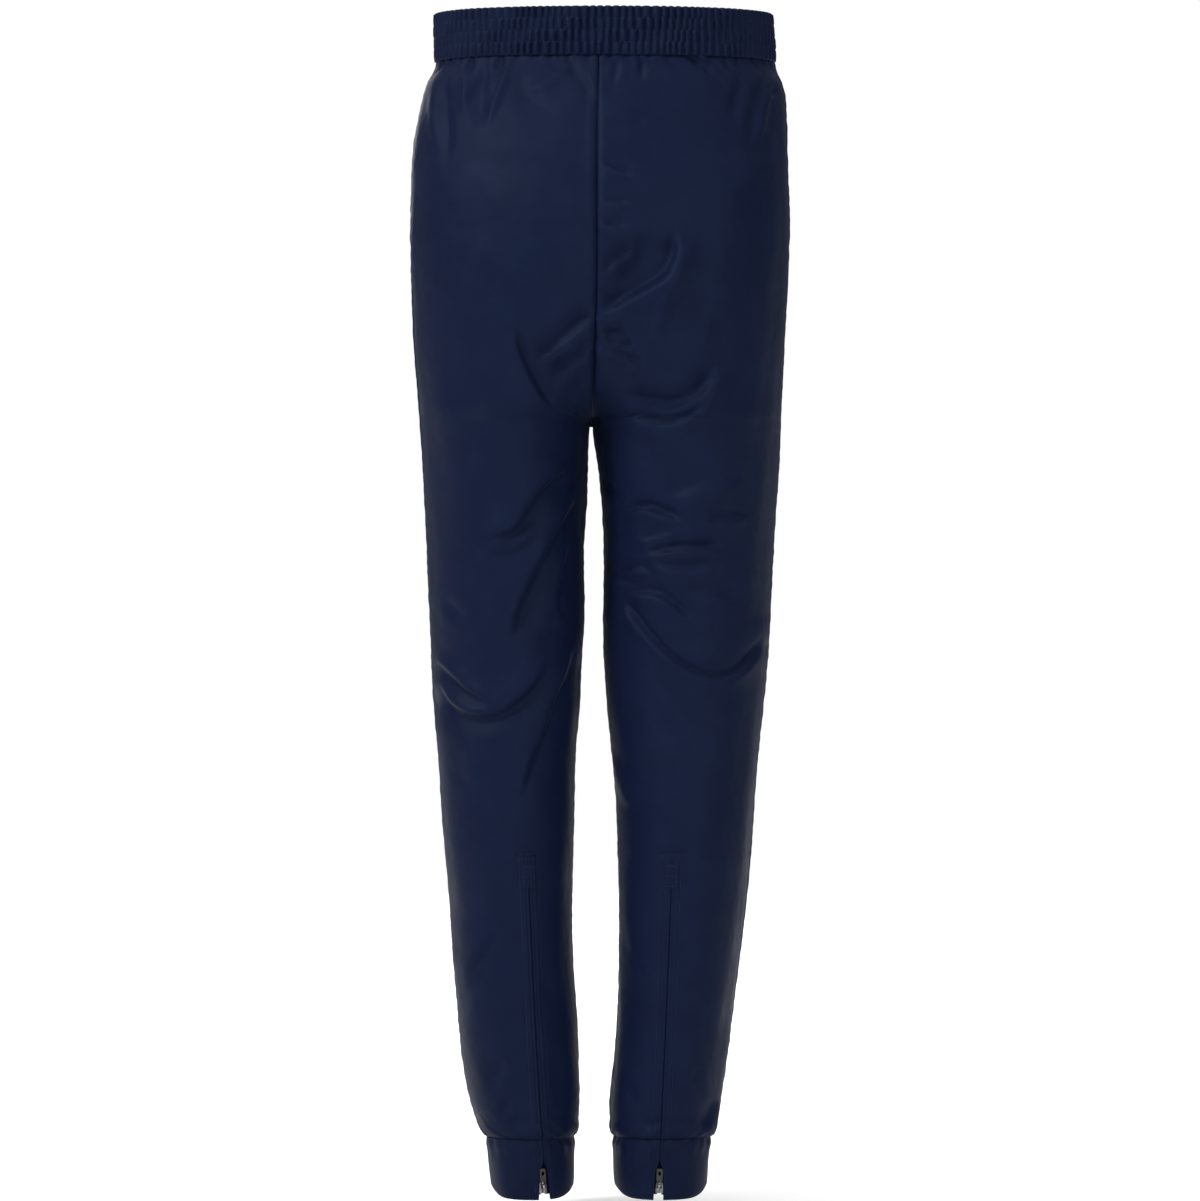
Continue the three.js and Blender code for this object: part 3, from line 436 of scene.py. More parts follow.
def grid_quads(rows, cols, start=0, flip=False, wrap=False):
    r, c = np.meshgrid(np.arange(rows - 1), np.arange(cols if wrap else cols - 1), indexing="ij")
    c2 = (c + 1) % cols
    q = np.stack([r * cols + c, (r + 1) * cols + c, (r + 1) * cols + c2, r * cols + c2], -1).reshape(-1, 4) + start
    return q[:, ::-1] if flip else q


def shell(name, outer, inner, normal, uv):
    """A closed piece of cloth from its outer and inner faces, two grids of points."""
    R, C = outer.shape[:2]
    a, b, c = outer[R // 2, C // 2], outer[R // 2 + 1, C // 2], outer[R // 2, C // 2 + 1]
    flip = np.dot(np.cross(b - a, c - a), normal[R // 2, C // 2]) < 0
    n = R * C
    q = [grid_quads(R, C, 0, flip), grid_quads(R, C, n, not flip)]
    loop = np.concatenate([np.arange(C), np.arange(1, R) * C + C - 1, (R - 1) * C + np.arange(C - 2, -1, -1), np.arange(R - 2, 0, -1) * C])
    nxt = np.roll(loop, -1)
    rim = np.stack([loop, nxt, nxt + n, loop + n], -1)
    if flip:
        rim = rim[:, ::-1]
    count = len(q[0]) + len(q[1])
    q = np.concatenate(q + [rim])
    verts = np.concatenate([outer.reshape(-1, 3), inner.reshape(-1, 3)])
    uvs = np.concatenate([uv.reshape(-1, 2), uv.reshape(-1, 2)]) / 1000
    return mesh_object(name, verts, q, uvs, np.arange(count, len(q)))


def normals(side, u, z):
    e = 0.0015
    du = raw(side, u + e, z) - raw(side, u - e, z)
    dz = raw(side, u, z + 1.0) - raw(side, u, z - 1.0)
    n = np.cross(du, dz)
    n /= np.maximum(np.linalg.norm(n, axis=-1), 1e-9)[..., None]
    out = raw(side, u, z) - np.stack([at("mid", z) + side * section(side, z)[2], at("dm", z), z], -1)
    n *= np.sign((n * out).sum(-1))[..., None]
    return n


def zip_x(name, z):
    k = ZIPS[name]
    return k["low"] + (k["top"] - k["low"]) * (z + 1048) / 288


def zip_arc(name, z):
    """Distance round the leg of the zip's centre line at a height."""
    side = ZIPS[name]["side"]
    u, s, quarter, q = row(side, z)
    x = side * q[600:, 0]
    return float(np.interp(-zip_x(name, z), -x, s[600:]))


def zip_gap(name, z):
    """Half of the opening between the two folded edges over the zip."""
    if z > ZIP_TOP_Z:
        return 0.0
    if z > -1016:
        return 0.25
    wide = 5.6 if name == "left" else 4.5
    return float(np.interp(-z, [1016, 1019, 1024, 1032, 1050], [0.25, 1.6, 3.5, 4.1, wide]))


def zip_relief(d):
    """The folded edge beside the zip: raised cloth, a row of stitches, and the coil felt under it."""
    h = 0.8 * smooth(9.6 - d, 0, 1.1) - 0.85 * np.exp(-(((d - 8.4) / 0.8) ** 2))
    return h - 0.55 * np.exp(-(((d - 3.1) / 0.6) ** 2)) + 0.4 * np.exp(-(((d - 1.7) / 0.9) ** 2)) - 0.6 * np.exp(-((d / 0.6) ** 2))


ZIP_COLUMNS = [0, 0.5, 1.1, 1.8, 2.5, 3.1, 3.7, 4.8, 6.6, 7.5, 8.0, 8.4, 8.8, 9.4, 10.2, 11.5]


def spaced(a, b, n, near_a=True, near_b=True):
    """n positions from a to b, closer together beside a sewn edge."""
    head = ZIP_COLUMNS if near_a == "zip" else [0, 0.7, 1.7, 3.2]
    tail = (ZIP_COLUMNS if near_b == "zip" else [0, 0.7, 1.7, 3.2])[::-1]
    L = b - a
    k = min(1.0, L / 20)
    head = [x * k for x in head]
    tail = [x * k for x in tail]
    mid = np.linspace(head[-1], L - tail[0], n - len(head) - len(tail) + 2)[1:-1]
    return a + np.concatenate([head, mid, [L - x for x in tail]])


N_FRONT, N_OUT, N_IN = 84, 66, 46


def arcs(name, kind, z):
    """Distances round the leg at which a piece's columns stand, at a height."""
    side = ZIPS[name]["side"]
    _, s, quarter, _ = row(side, z)
    total = s[-1]
    e = 0.0
    if kind == "front":
        return spaced(e, quarter - e, N_FRONT)
    even = spaced(quarter + e, total - e, N_OUT + N_IN - 1)
    if kind == "back" and z > -560:
        return even
    c, g = zip_arc(name, z), zip_gap(name, z)
    outer = spaced(quarter + e, c - g, N_OUT, True, "zip")
    inner = spaced(c + g, total - e, N_IN, "zip", True)
    if kind == "outer":
        return outer
    if kind == "inner":
        return inner
    k = smooth(-z, 560, 740)
    return (1 - k) * even + k * np.concatenate([outer, inner[1:]])


CLOTH_MM = 1.0
GRIDS = {}


def panel(piece, name, kind, zs):
    side = ZIPS[name]["side"]
    A = np.array([arcs(name, kind, z) for z in zs])
    U = np.array([u_at_arc(side, z, a) for z, a in zip(zs, A)])
    Z = np.repeat(np.array(zs, float)[:, None], A.shape[1], 1)
    quarter = np.array([row(side, z)[2] for z in zs])[:, None]
    total = np.array([row(side, z)[1][-1] for z in zs])[:, None]
    P, N = raw(side, U, Z), normals(side, U, Z)
    h = relief(side, P, A, quarter, Z, U)
    edge = np.minimum(np.abs(A - quarter), np.minimum(A, total - A))
    h = h * (0.35 + 0.65 * smooth(edge, 0, 7))
    # the seams: each panel's edge turns in, its allowance lies to one side, and the thread draws the cloth up
    pucker = np.sin(Z / 1.9 + 2.2 * np.sin(Z / 13.0)) + 0.8 * np.sin(Z / 4.6 + side)
    groove = 1.5 - 1.2 * np.exp(-(((Z + 380) / 34) ** 2)) * (np.minimum(A, total - A) < 6)
    h += -groove * np.exp(-((edge / 1.25) ** 2)) + 0.24 * np.exp(-((edge - 4) / 3.2) ** 2) * (1 + 0.8 * pucker)
    if side > 0 and kind == "back":
        h += 0.5 * smooth(8.5 - (total - A), 0, 1.6) * smooth(Z, -345, -330)
    # side seam pocket mouth
    mouth = smooth(Z, -208, -200) * smooth(-Z, 62, 70)
    near = np.abs(A - quarter)
    if kind == "front":
        h += mouth * (0.9 * np.exp(-(((near - 4.5) / 3.5) ** 2)) - 1.3 * np.exp(-((near / 2.2) ** 2)))
    elif kind == "back":
        h += mouth * 0.8 * np.exp(-((near / 3.0) ** 2))
    # folded edges over the zip
    if kind in ("outer", "inner", "back"):
        c = np.array([zip_arc(name, z) if z < -700 else 0 for z in zs])[:, None]
        d = np.abs(A - c)
        on = smooth(-Z, -STITCH_TOP_Z - 2, -STITCH_TOP_Z + 3) * (c > 0)
        h += on * zip_relief(d) - 0.8 * np.exp(-(((Z - STITCH_TOP_Z - 1.0) / 1.1) ** 2)) * smooth(12 - d, 0, 1.5) * (c > 0)
        h += on * 0.22 * np.exp(-d / 9) * pucker
    # the top is tucked behind the waistband, and the bottom behind the cuff
    h -= 1.6 * smooth(Z, BAND_Z - 3.5, BAND_Z) * 1.0
    h += 1.9 * np.exp(-(((Z - CUFF_Z - 8) / 6.0) ** 2)) - 2.0 * np.exp(-(((Z - CUFF_Z) / 2.4) ** 2))
    h = np.clip(h, -13, 7.5)
    inward = side * N[..., 0] < -0.25
    room = np.maximum(side * (P[..., 0] - at("mid", Z)) - 0.15, 0)
    h = np.where(inward, np.minimum(h, room * 0.8 + 0.0), h)
    outer = P + N * h[..., None]
    inner = outer - N * CLOTH_MM
    # both layers stay on their own side of the middle
    lim = at("mid", Z) + side * 0.12
    for q in (outer, inner):
        q[..., 0] = np.where(side * (q[..., 0] - lim) < 0, lim, q[..., 0])
    uv = np.stack([A + (0 if side > 0 else 2000), Z], -1)
    GRIDS[piece] = (outer, N, uv, Z)
    return shell(piece, outer, inner, N, uv)


def zrange(a, b, step=3.0):
    n = max(2, int(round((a - b) / step)) + 1)
    return [float(x) for x in np.linspace(a, b, n)]


SPLIT_Z, CALF_Z = -484.0, -750.0
top_rows = [-42.0, -43.2, -44.6, -46.2] + zrange(-48.5, SPLIT_Z)
low_front = zrange(SPLIT_Z, -984) + [-986.5, -989, -991.5, -994, -996, -997, CUFF_Z]
low_back = zrange(SPLIT_Z, -739.0) + [-741.5, -742.6, -743.4, -744.2, -745.0, -746.0, -747.4, CALF_Z]
calf = zrange(CALF_Z, -984) + [-986.5, -989, -991.5, -994, -996, -997, CUFF_Z]
pivots = {}
made = {}


def blend_lip(o):
    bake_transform(o)


for name, k in ZIPS.items():
    hip, knee = joints["hip_" + name], joints["knee_" + name]
    for kind, zs_low in (("front", low_front), ("back", low_back)):
        up = panel(f"{kind}_panel_{name}_upper", name, kind, top_rows)
        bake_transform(up)
        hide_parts(f"{kind}_panel_{name}_seat", f"{kind}_panel_{name}_hip_fold")
        low = panel(f"{kind}_panel_{name}_lower", name, kind, zs_low)
        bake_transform(low)
        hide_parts(f"{kind}_panel_{name}_thigh", f"{kind}_panel_{name}_knee_fold", *([f"{kind}_panel_{name}_shin"] if kind == "front" else []))
        made[kind, name] = (up, low)
    for which in ("outer", "inner"):
        c = panel(f"back_panel_{name}_calf_{which}", name, which, calf)
        blend_lip(c)
        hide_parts(f"back_panel_{name}_lip_{which}", *(["back_panel_%s_shin" % name] if which == "outer" else []))
        made[which, name] = c

# the centre seams' allowances, one strip behind and one in front, inside the cloth
allowances = []
for kind, cols in (("back", [-5, -4, -3, -2, -1]), ("front", [4, 3, 2, 1, 0])):
    parts = []
    for name, order in (("left", cols), ("right", cols[::-1])):
        outer, N, uv, Z = GRIDS[f"{kind}_panel_{name}_upper"]
        rows = Z[:, 0] > -367
        parts.append([g[rows][:, order] for g in (outer - N * (CLOTH_MM + 0.25), N, uv)])
    top, N, uv = [np.concatenate([parts[0][i], parts[1][i]], 1) for i in range(3)]
    uv = np.stack([np.broadcast_to(np.linspace(0, 14, top.shape[1]), top.shape[:2]), top[..., 2]], -1)
    strip = shell(f"centre_{kind}_seam_allowance", top, top - N * 0.9, N, uv)
    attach(strip, "root")
    allowances.append(strip)

# ---------------------------------------------------------------- stitches
def resample(path, step):
    path = np.asarray(path, float)
    seg = np.linalg.norm(np.diff(path, axis=0), axis=1)
    arc = np.concatenate([[0], np.cumsum(seg)])
    s = np.arange(0, arc[-1], step)
    return np.stack([np.interp(s, arc, path[:, i]) for i in range(3)], -1), s


def stitch_mesh(name, lines, pitch=2.7, length=1.95, r=0.24, lift=0.1):
    """Rows of thread. Each line is a path and the outward directions along it, in mm."""
    verts, quads = [], []
    ring = 6
    for path, out in lines:
        path, out = np.asarray(path, float), np.asarray(out, float)
        seg = np.linalg.norm(np.diff(path, axis=0), axis=1)
        arc = np.concatenate([[0], np.cumsum(seg)])
        for s0 in np.arange(0.3, arc[-1] - length, pitch):
            prof = []
            for f, rad, up in ((0.0, 0.12, -0.28), (0.12, 0.8, 0.0), (0.5, 1.0, 0.1), (0.88, 0.8, 0.0), (1.0, 0.12, -0.28)):
                s = s0 + f * length
                p = np.array([np.interp(s, arc, path[:, i]) for i in range(3)])
                n = np.array([np.interp(s, arc, out[:, i]) for i in range(3)])
                n /= np.linalg.norm(n)
                prof.append((p + n * (lift + up), n, rad * r))
            d = prof[-1][0] - prof[0][0]
            d /= np.linalg.norm(d)
            base = len(verts)
            for p, n, rad in prof:
                w = np.cross(d, n)
                w /= np.linalg.norm(w)
                for i in range(ring):
                    t = 2 * math.pi * i / ring
                    verts.append(p + rad * (math.cos(t) * w + math.sin(t) * n))
            for i in range(4):
                for j in range(ring):
                    a, b = base + i * ring + j, base + i * ring + (j + 1) % ring
                    quads.append((a, b, b + ring, a + ring))
            for e, order in ((base, 1), (base + 4 * ring, -1)):
                f1, f2 = [e, e + 5, e + 4, e + 3], [e, e + 3, e + 2, e + 1]
                quads += [tuple(f1), tuple(f2)] if order > 0 else [tuple(f1[::-1]), tuple(f2[::-1])]
    return mesh_object(name, np.array(verts), np.array(quads))


def on_cloth(name, kind, a, z, up=0.0):
    """A point on a piece's finished outer face, and its outward direction, at a distance round the leg and a height."""
    side = ZIPS[name]["side"]
    A, Z = np.array([[float(a)]]), np.array([[float(z)]])
    U = np.array([[u_at_arc(side, z, a)]])
    P, N = raw(side, U, Z), normals(side, U, Z)
    h = relief(side, P, A, row(side, z)[2], Z, U)
    if kind == "zip":
        d = abs(a - zip_arc(name, z))
        h = h + zip_relief(d)
    return (P + N * (h[..., None] + up))[0, 0], N[0, 0]


# ---------------------------------------------------------------- waistband: cloth folded over elastic and sewn through in rows
ROWS_Z = [-10.5, -21.0, -31.5]


def band_outline(z, n):
    """Evenly spaced points round the waist, from the wearer's left side towards the back."""
    t = np.linspace(0, 2 * math.pi, 2881)
    c = np.cos(t)
    side = np.where(c >= 0, 1, -1)
    pts = np.zeros((len(t), 3))
    for s in (1, -1):
        mid, a, cx, cy, b, p, inner = section(s, z)
        m = side == s
        pts[m] = np.stack([mid + s * (cx + a) * np.abs(c[m]) ** p, cy + b * power(np.sin(t[m]), p), np.full(m.sum(), z)], -1)
    arc = np.concatenate([[0], np.cumsum(np.linalg.norm(np.diff(pts, axis=0), axis=1))])
    s = np.linspace(0, arc[-1], n, endpoint=False)
    q = np.stack([np.interp(s, arc, pts[:, i]) for i in range(3)], -1)
    tangent = np.roll(q, -1, 0) - np.roll(q, 1, 0)
    nrm = np.stack([tangent[:, 1], -tangent[:, 0], 0 * s], -1)
    nrm /= np.linalg.norm(nrm, axis=1)[:, None]
    return q, nrm, s


def gather(s, z, x):
    """The gathered cloth of the band: fine ridges whose places shift from one sewn row to the next."""
    tiers = [0] + ROWS_Z + [-42]
    total = np.zeros(s.shape)
    weight = np.zeros(s.shape)
    for i in range(4):
        top, low = tiers[i], tiers[i + 1]
        w = smooth(np.full(s.shape, z), low - 1.6, low + 1.6) * smooth(np.full(s.shape, -z), -top - 1.6, -top + 1.6)
        lam = 6.7 + 0.5 * math.sin(i * 2.1)
        ph = 2 * math.pi * s / 6.7 + 1.6 * np.sin(s / 23.0 + 0.5 * i) + 1.2 * np.sin(s / 11.3 + 0.9 * i) + 0.7 * np.sin(s / 5.1 + 1.9 * i)
        amp = 0.98 + 0.16 * np.sin(s / 31.0 + i) + 0.22 * np.sin(s / 9.7 + 2 * i)
        total += w * amp * (1.9 * np.abs(np.sin(ph / 2)) ** 0.62 - 1.1)
        weight += w
    side = 1 - 0.45 * smooth(np.abs(x), 95, 150)
    return total / np.maximum(weight, 1e-3) * side


def waistband():
    n = 1000
    prof = [(-0.9, -43.0), (-0.3, -42.8)] + [(None, z) for z in np.linspace(-42.2, -1.4, 40)] + [(0.0, -0.7), (-0.7, -0.15), (-1.8, 0.0), (-3.4, 0.0), (-4.9, -0.1), (-5.7, -0.6), (-6.1, -1.4)]
    prof += [(-6.2, z) for z in np.linspace(-4, -40, 13)] + [(-6.0, -41.6), (-5.2, -42.2), (-4.6, -41.6)] + [(-4.7, z) for z in (-34, -24, -14)] + [(-4.6, -4.0), (-3.6, -2.4), (-2.2, -2.4), (-1.4, -4.0)] + [(-1.35, z) for z in (-14, -24, -34)] + [(-1.4, -41.6)]
    grid = []
    for i, (d, z) in enumerate(prof):
        q, nrm, s = band_outline(min(0, max(-42, z)), n)
        q = q.copy()
        q[:, 2] = z
        if d is None:
            pinch = max(math.exp(-(((z - r) / 1.25) ** 2)) for r in ROWS_Z)
            end = 0.5 * math.exp(-(((z + 42) / 3.0) ** 2)) + 0.25 * math.exp(-(((z + 1) / 2.5) ** 2))
            g = gather(s, z, q[:, 0])
            h = (2.25 * g) * (1 - 0.20 * pinch) + 0.35 - 0.15 * pinch - end
            # a join at the centre back
            b = np.exp(-(((q[:, 0] + 0.5) / 1.3) ** 2)) * (q[:, 1] > 0)
            h = h - 0.9 * b
            h = np.clip(h, -1.45, 3.4)
        else:
            g = gather(s, max(z, -40), q[:, 0])
            h = d + 0.30 * g * (1 if d < -4 else 0.55)
            if z > -3:
                q[:, 2] += 0.45 * g * (1 if d > -6 else 0.3)
        grid.append(q + nrm * np.asarray(h).reshape(-1, 1))
    G = np.array(grid)
    R = len(G)
    rr, cc = np.meshgrid(np.arange(R), np.arange(n), indexing="ij")
    r2, c2 = (rr + 1) % R, (cc + 1) % n
    quads = np.stack([rr * n + cc, rr * n + c2, r2 * n + c2, r2 * n + cc], -1).reshape(-1, 4)
    uv = np.stack([np.repeat(s[None, :], R, 0), G[..., 2]], -1).reshape(-1, 2) / 1000
    o = mesh_object("waistband_cloth", G.reshape(-1, 3), quads, uv)
    return o


band = waistband()
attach(band, "root")
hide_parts("waistband_casing")
lines = []
for r in ROWS_Z:
    q, nrm, s = band_outline(r, 1000)
    g = gather(s, r, q[:, 0])
    p = q + nrm * np.maximum(2.25 * g * 0.80 + 0.05, -1.45)[:, None]
    lines.append((np.vstack([p, p[:1]]), np.vstack([nrm, nrm[:1]])))
band_stitch = stitch_mesh("waistband_stitching", lines, pitch=2.9, length=1.9, r=0.17, lift=0.03)
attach(band_stitch, "root")
pieces = {"tricot": [], "knit": [], "thread": [band_stitch], "lining": [], "tape": [], "coil": [], "band": [band]}
pieces["tricot"] += allowances
for o in made.values():
    pieces["tricot"] += list(o) if isinstance(o, tuple) else [o]

# ---------------------------------------------------------------- cuffs, two layers folded at the hem, in three lengths: the front and the two beside the zip
for name, k in ZIPS.items():
    side = k["side"]
    zs = [-997.2, -998.2, -1000, -1003] + zrange(-1006, -1044) + [-1046, -1048, -1049.3, -1050.2]
    for which in ("front", "outer", "inner"):
        A = []
        for z in zs:
            zz = max(z, HEM_Z)
            _, s, quarter, _ = row(side, zz)
            total, c, g = s[-1], zip_arc(name, zz), zip_gap(name, zz)
            if which == "front":
                A.append(spaced(0.0, quarter, 110))
            elif which == "outer":
                A.append(spaced(quarter, c - g, 62, True, "zip"))
            else:
                A.append(spaced(c + g, total, 52, "zip", True))
        A = np.array(A)
        Z = np.repeat(np.array(zs, float)[:, None], A.shape[1], 1)
        U = np.array([u_at_arc(side, max(z, HEM_Z), a) for z, a in zip(zs, A)])
        P, N = raw(side, U, np.maximum(Z, HEM_Z)), normals(side, U, Z)
        P[..., 2] = Z
        total = np.array([row(side, max(z, HEM_Z))[1][-1] for z in zs])[:, None]
        ends = np.minimum(A, total - A)
        X, Y = elevation(P, 1)
        h = 0.25 * ripple(P) + 0.5 * broad(P * 1.6)
        back = smooth(P[..., 1] - at("dm", Z), 4, 22)
        for f in BACK_FOLDS[-6:]:
            h += back * stroke(X, Y, f)
        # gathered a little at its sewn edge; a soft fold at the hem; a turned edge at the zip
        h += smooth(Z, -1020, -999) * (0.5 * np.sin(A / 2.35 + 2 * np.sin(A / 17)) + 0.35 * np.sin(A / 4.4 + 1.3))
        h += -0.9 * smooth(Z, -1001.5, CUFF_Z) + 0.5 * np.exp(-(((Z + 1004) / 3.0) ** 2))
        h -= 0.95 * smooth(-Z, 1046, 1050.2) ** 2
        h += -0.9 * np.exp(-((ends / 1.2) ** 2)) + 0.35 * np.exp(-(((ends - 4) / 3) ** 2))
        c = np.array([zip_arc(name, max(z, HEM_Z)) for z in zs])[:, None]
        d = np.abs(A - c)
        h += 0.6 * smooth(9.6 - d, 0, 1.1) - 0.7 * np.exp(-(((d - 8.4) / 0.8) ** 2)) - 0.4 * np.exp(-(((d - 3.1) / 0.6) ** 2)) * (zip_gap(name, -1000) > 0) - 0.6 * np.exp(-(((d - np.abs(zip_gap(name, -1040))) / 1.2) ** 2)) * (d < 6)
        outer = P + N * h[..., None]
        thick = np.where(Z < -1049, 0.9, 1.9) - 0.5 * np.exp(-((ends / 1.2) ** 2))
        inner = outer - N * thick[..., None]
        # the hem turns up a little at the leg's two sides
        hem = raw(side, row(side, HEM_Z)[0], np.full(len(row(side, HEM_Z)[0]), float(HEM_Z)))[:, 0]
        off = np.clip(np.abs(P[..., 0] - (hem.min() + hem.max()) / 2) / ((hem.max() - hem.min()) / 2), 0, 1)
        lift = (1.5 * off ** 2 + 7.5 * off ** 7) * np.clip((-1018 - Z) / 32, 0, 1) ** 1.5
        outer[..., 2] += lift
        inner[..., 2] += lift
        uv = np.stack([A, Z], -1)
        o = shell(f"cuff_{name}_{which}", outer, inner, N, uv)
        if which == "front":
            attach(o, "shin_" + name)
            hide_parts(f"cuff_{name}")
        else:
            blend_lip(o)
            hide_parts(f"cuff_{name}_end_{which}")
        pieces["knit"].append(o)

# ---------------------------------------------------------------- the zips' tapes, coils, guards, patches and stitching
def frame_of(name):
    j = joints["zip_slide_" + name]
    along = np.array(j["axis"], float)
    pj = joints["pull_flip_" + name]
    across = -np.array(pj["axis"], float)
    out = np.cross(along, across)
    out /= np.linalg.norm(out)
    pin = np.array(pj["pos_m"]) * 1000
    place = pin - out * 2.66 - along * 0.4
    return place, across / np.linalg.norm(across), out, along / np.linalg.norm(along)


for name, k in ZIPS.items():
    side = k["side"]
    place, across, out, along = frame_of(name)
    low, end = (HEM_Z + 4.5 - place[2]) / along[2], (ZIP_TOP_Z - 4 - place[2]) / along[2]
    to = lambda x, y, z: place + across * x + out * y + along * z
    for which in ("outer", "inner"):
        s = (1 if which == "outer" else -1) * side
        zz = np.arange(low, end, 2.2)
        xs = np.array([0.35, 0.8, 1.6, 3.0, 4.4, 5.8, 7.0, 8.0, 8.7])
        O, I, UV = [], [], []
        for q in zz:
            step = 1.7 if q < -1.5 else 0
            ro, ri, ru = [], [], []
            for x in xs:
                x2 = x + step * max(0, 1 - (x - 0.35) / 4)
                y = 0.12 * math.sin(q / 1.1) * (x > 3) + 0.05 * math.sin(x * 4)
                ro.append(to(s * x2, 0.28 + y, q)); ri.append(to(s * x2, -0.28 + y, q)); ru.append((x, q))
            O.append(ro); I.append(ri); UV.append(ru)
        O, I = np.array(O), np.array(I)
        tape = shell(f"zip_tape_{name}_{which}_cloth", O, I, np.broadcast_to(out, O.shape), np.array(UV))
        blend_lip(tape)
        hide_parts(f"zip_tape_{name}_{which}")
        pieces["tape"].append(tape)
        # the coil: one small loop to each tooth
        verts, quads = [], []
        for i, q in enumerate(np.arange(low + 1.5, end - 4, 1.25)):
            step = 1.7 if q < -1.5 else 0
            off = 0.0 if which == "outer" else 0.62
            for m in range(4):
                t = (m / 3)
                cx, cz = (0.2 if step == 0 else 0.5) + 2.1 * t + step, q + off
                yy = -1.35
                rx = 0.34 - 0.08 * (m == 0)
                base = len(verts)
                for j in range(6):
                    a = 2 * math.pi * j / 6
                    verts.append(to(s * cx, yy + (0.72 if m < 3 else 0.6) * math.sin(a), cz + rx * math.cos(a)))
                if m:
                    for j in range(6):
                        a, b = base - 6 + j, base - 6 + (j + 1) % 6
                        quads.append((a, b, b + 6, a + 6))
                else:
                    quads += [(base, base + 5, base + 4, base + 3), (base, base + 3, base + 2, base + 1)]
            e = len(verts) - 6
            quads += [(e + 3, e + 4, e + 5, e), (e + 1, e + 2, e + 3, e)]
        coil = mesh_object(f"zip_coil_{name}_{which}_teeth", np.array(verts), np.array(quads))
        blend_lip(coil)
        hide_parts(f"zip_coil_{name}_{which}")
        pieces["coil"].append(coil)
        # topstitching down the cloth beside the zip, and on over the cuff
        path, nn = [], []
        for z in np.arange(STITCH_TOP_Z - 1, HEM_Z + 3, -3.0):
            c = zip_arc(name, z)
            p, n_ = on_cloth(name, "zip", c + (-1 if which == "outer" else 1) * 8.4, z)
            if z < CUFF_Z + 1:
                p = p - n_ * 0.35
            path.append(p); nn.append(n_)
        st = stitch_mesh(f"zip_topstitch_{name}_{which}", [(path, nn)], pitch=2.6, length=2.0, r=0.3, lift=0.2)
        blend_lip(st)
        pieces["thread"].append(st)
    # lining strip behind the zip
    zz = np.arange(low + 1, end + 6, 4.0)
    xs = np.linspace(-12, 12, 13)
    O = np.array([[to(x, -5.75 + 0.25 * math.sin(q / 9.0 + x / 5) - 0.010 * x * x, q) for x in xs] for q in zz])
    I = O - out * 0.7
    guard = shell(f"zip_guard_{name}_cloth", O, I, np.broadcast_to(out, O.shape), np.array([[(x, q) for x in xs] for q in zz]))
    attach(guard, "shin_" + name)
    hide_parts(f"zip_guard_{name}")
    pieces["lining"].append(guard)
    # patch over the upper end, and the bar of stitching above it
    zz = np.linspace(-774, -753, 12)
    O, N_ = [], []
    for i, z in enumerate(zz):
        c = zip_arc(name, z)
        r1, r2 = [], []
        for j, a in enumerate(np.linspace(-6.3, 6.3, 9)):
            p, n_ = on_cloth(name, "zip", c + a, z)
            rim = 0.45 if i in (0, 11) or j in (0, 8) else 1.25 - 0.12 * math.cos(i * 1.3) * math.cos(j * 1.1)
            r1.append(p + n_ * rim); r2.append(n_)
        O.append(r1); N_.append(r2)
    O, N_ = np.array(O), np.array(N_)
    patch = shell(f"zip_patch_{name}_cloth", O, O - N_ * 0.6, N_, np.array([[(j * 1.6, z) for j in range(9)] for z in zz]))
    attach(patch, "shin_" + name)
    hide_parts(f"zip_patch_{name}")
    pieces["tricot"].append(patch)
    lines = []
    box_path = [(-4.9, -755), (4.9, -755), (4.9, -763.5), (-4.9, -763.5), (-4.9, -772.3), (4.9, -772.3), (4.9, -763.5)]
    for loop, up in ((box_path, 1.25), ([(-4.9, -755), (-4.9, -772.3)], 1.25)):
        pts, nn = [], []
        for (a0, z0), (a1, z1) in zip(loop[:-1], loop[1:]):
            for f in np.linspace(0, 1, 7)[:-1]:
                a, z = a0 + (a1 - a0) * f, z0 + (z1 - z0) * f
                p, n_ = on_cloth(name, "zip", zip_arc(name, z) + a, z, up)
                pts.append(p); nn.append(n_)
        p, n_ = on_cloth(name, "zip", zip_arc(name, loop[-1][1]) + loop[-1][0], loop[-1][1], up)
        pts.append(p); nn.append(n_)
        lines.append((pts, nn))
    pts, nn = [], []
    for a in np.linspace(-10.2, 10.2, 12):
        p, n_ = on_cloth(name, "zip", zip_arc(name, STITCH_TOP_Z) + a, STITCH_TOP_Z + 0.4, 0.1)
        pts.append(p); nn.append(n_)
    lines.append((pts, nn))
    pts2 = [p + np.array([0, 0, 1.3]) for p in pts]
    lines.append((pts2, nn))
    bar = stitch_mesh(f"zip_patch_stitching_{name}", lines, pitch=1.9, length=1.6, r=0.26)
    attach(bar, "shin_" + name)
    pieces["thread"].append(bar)

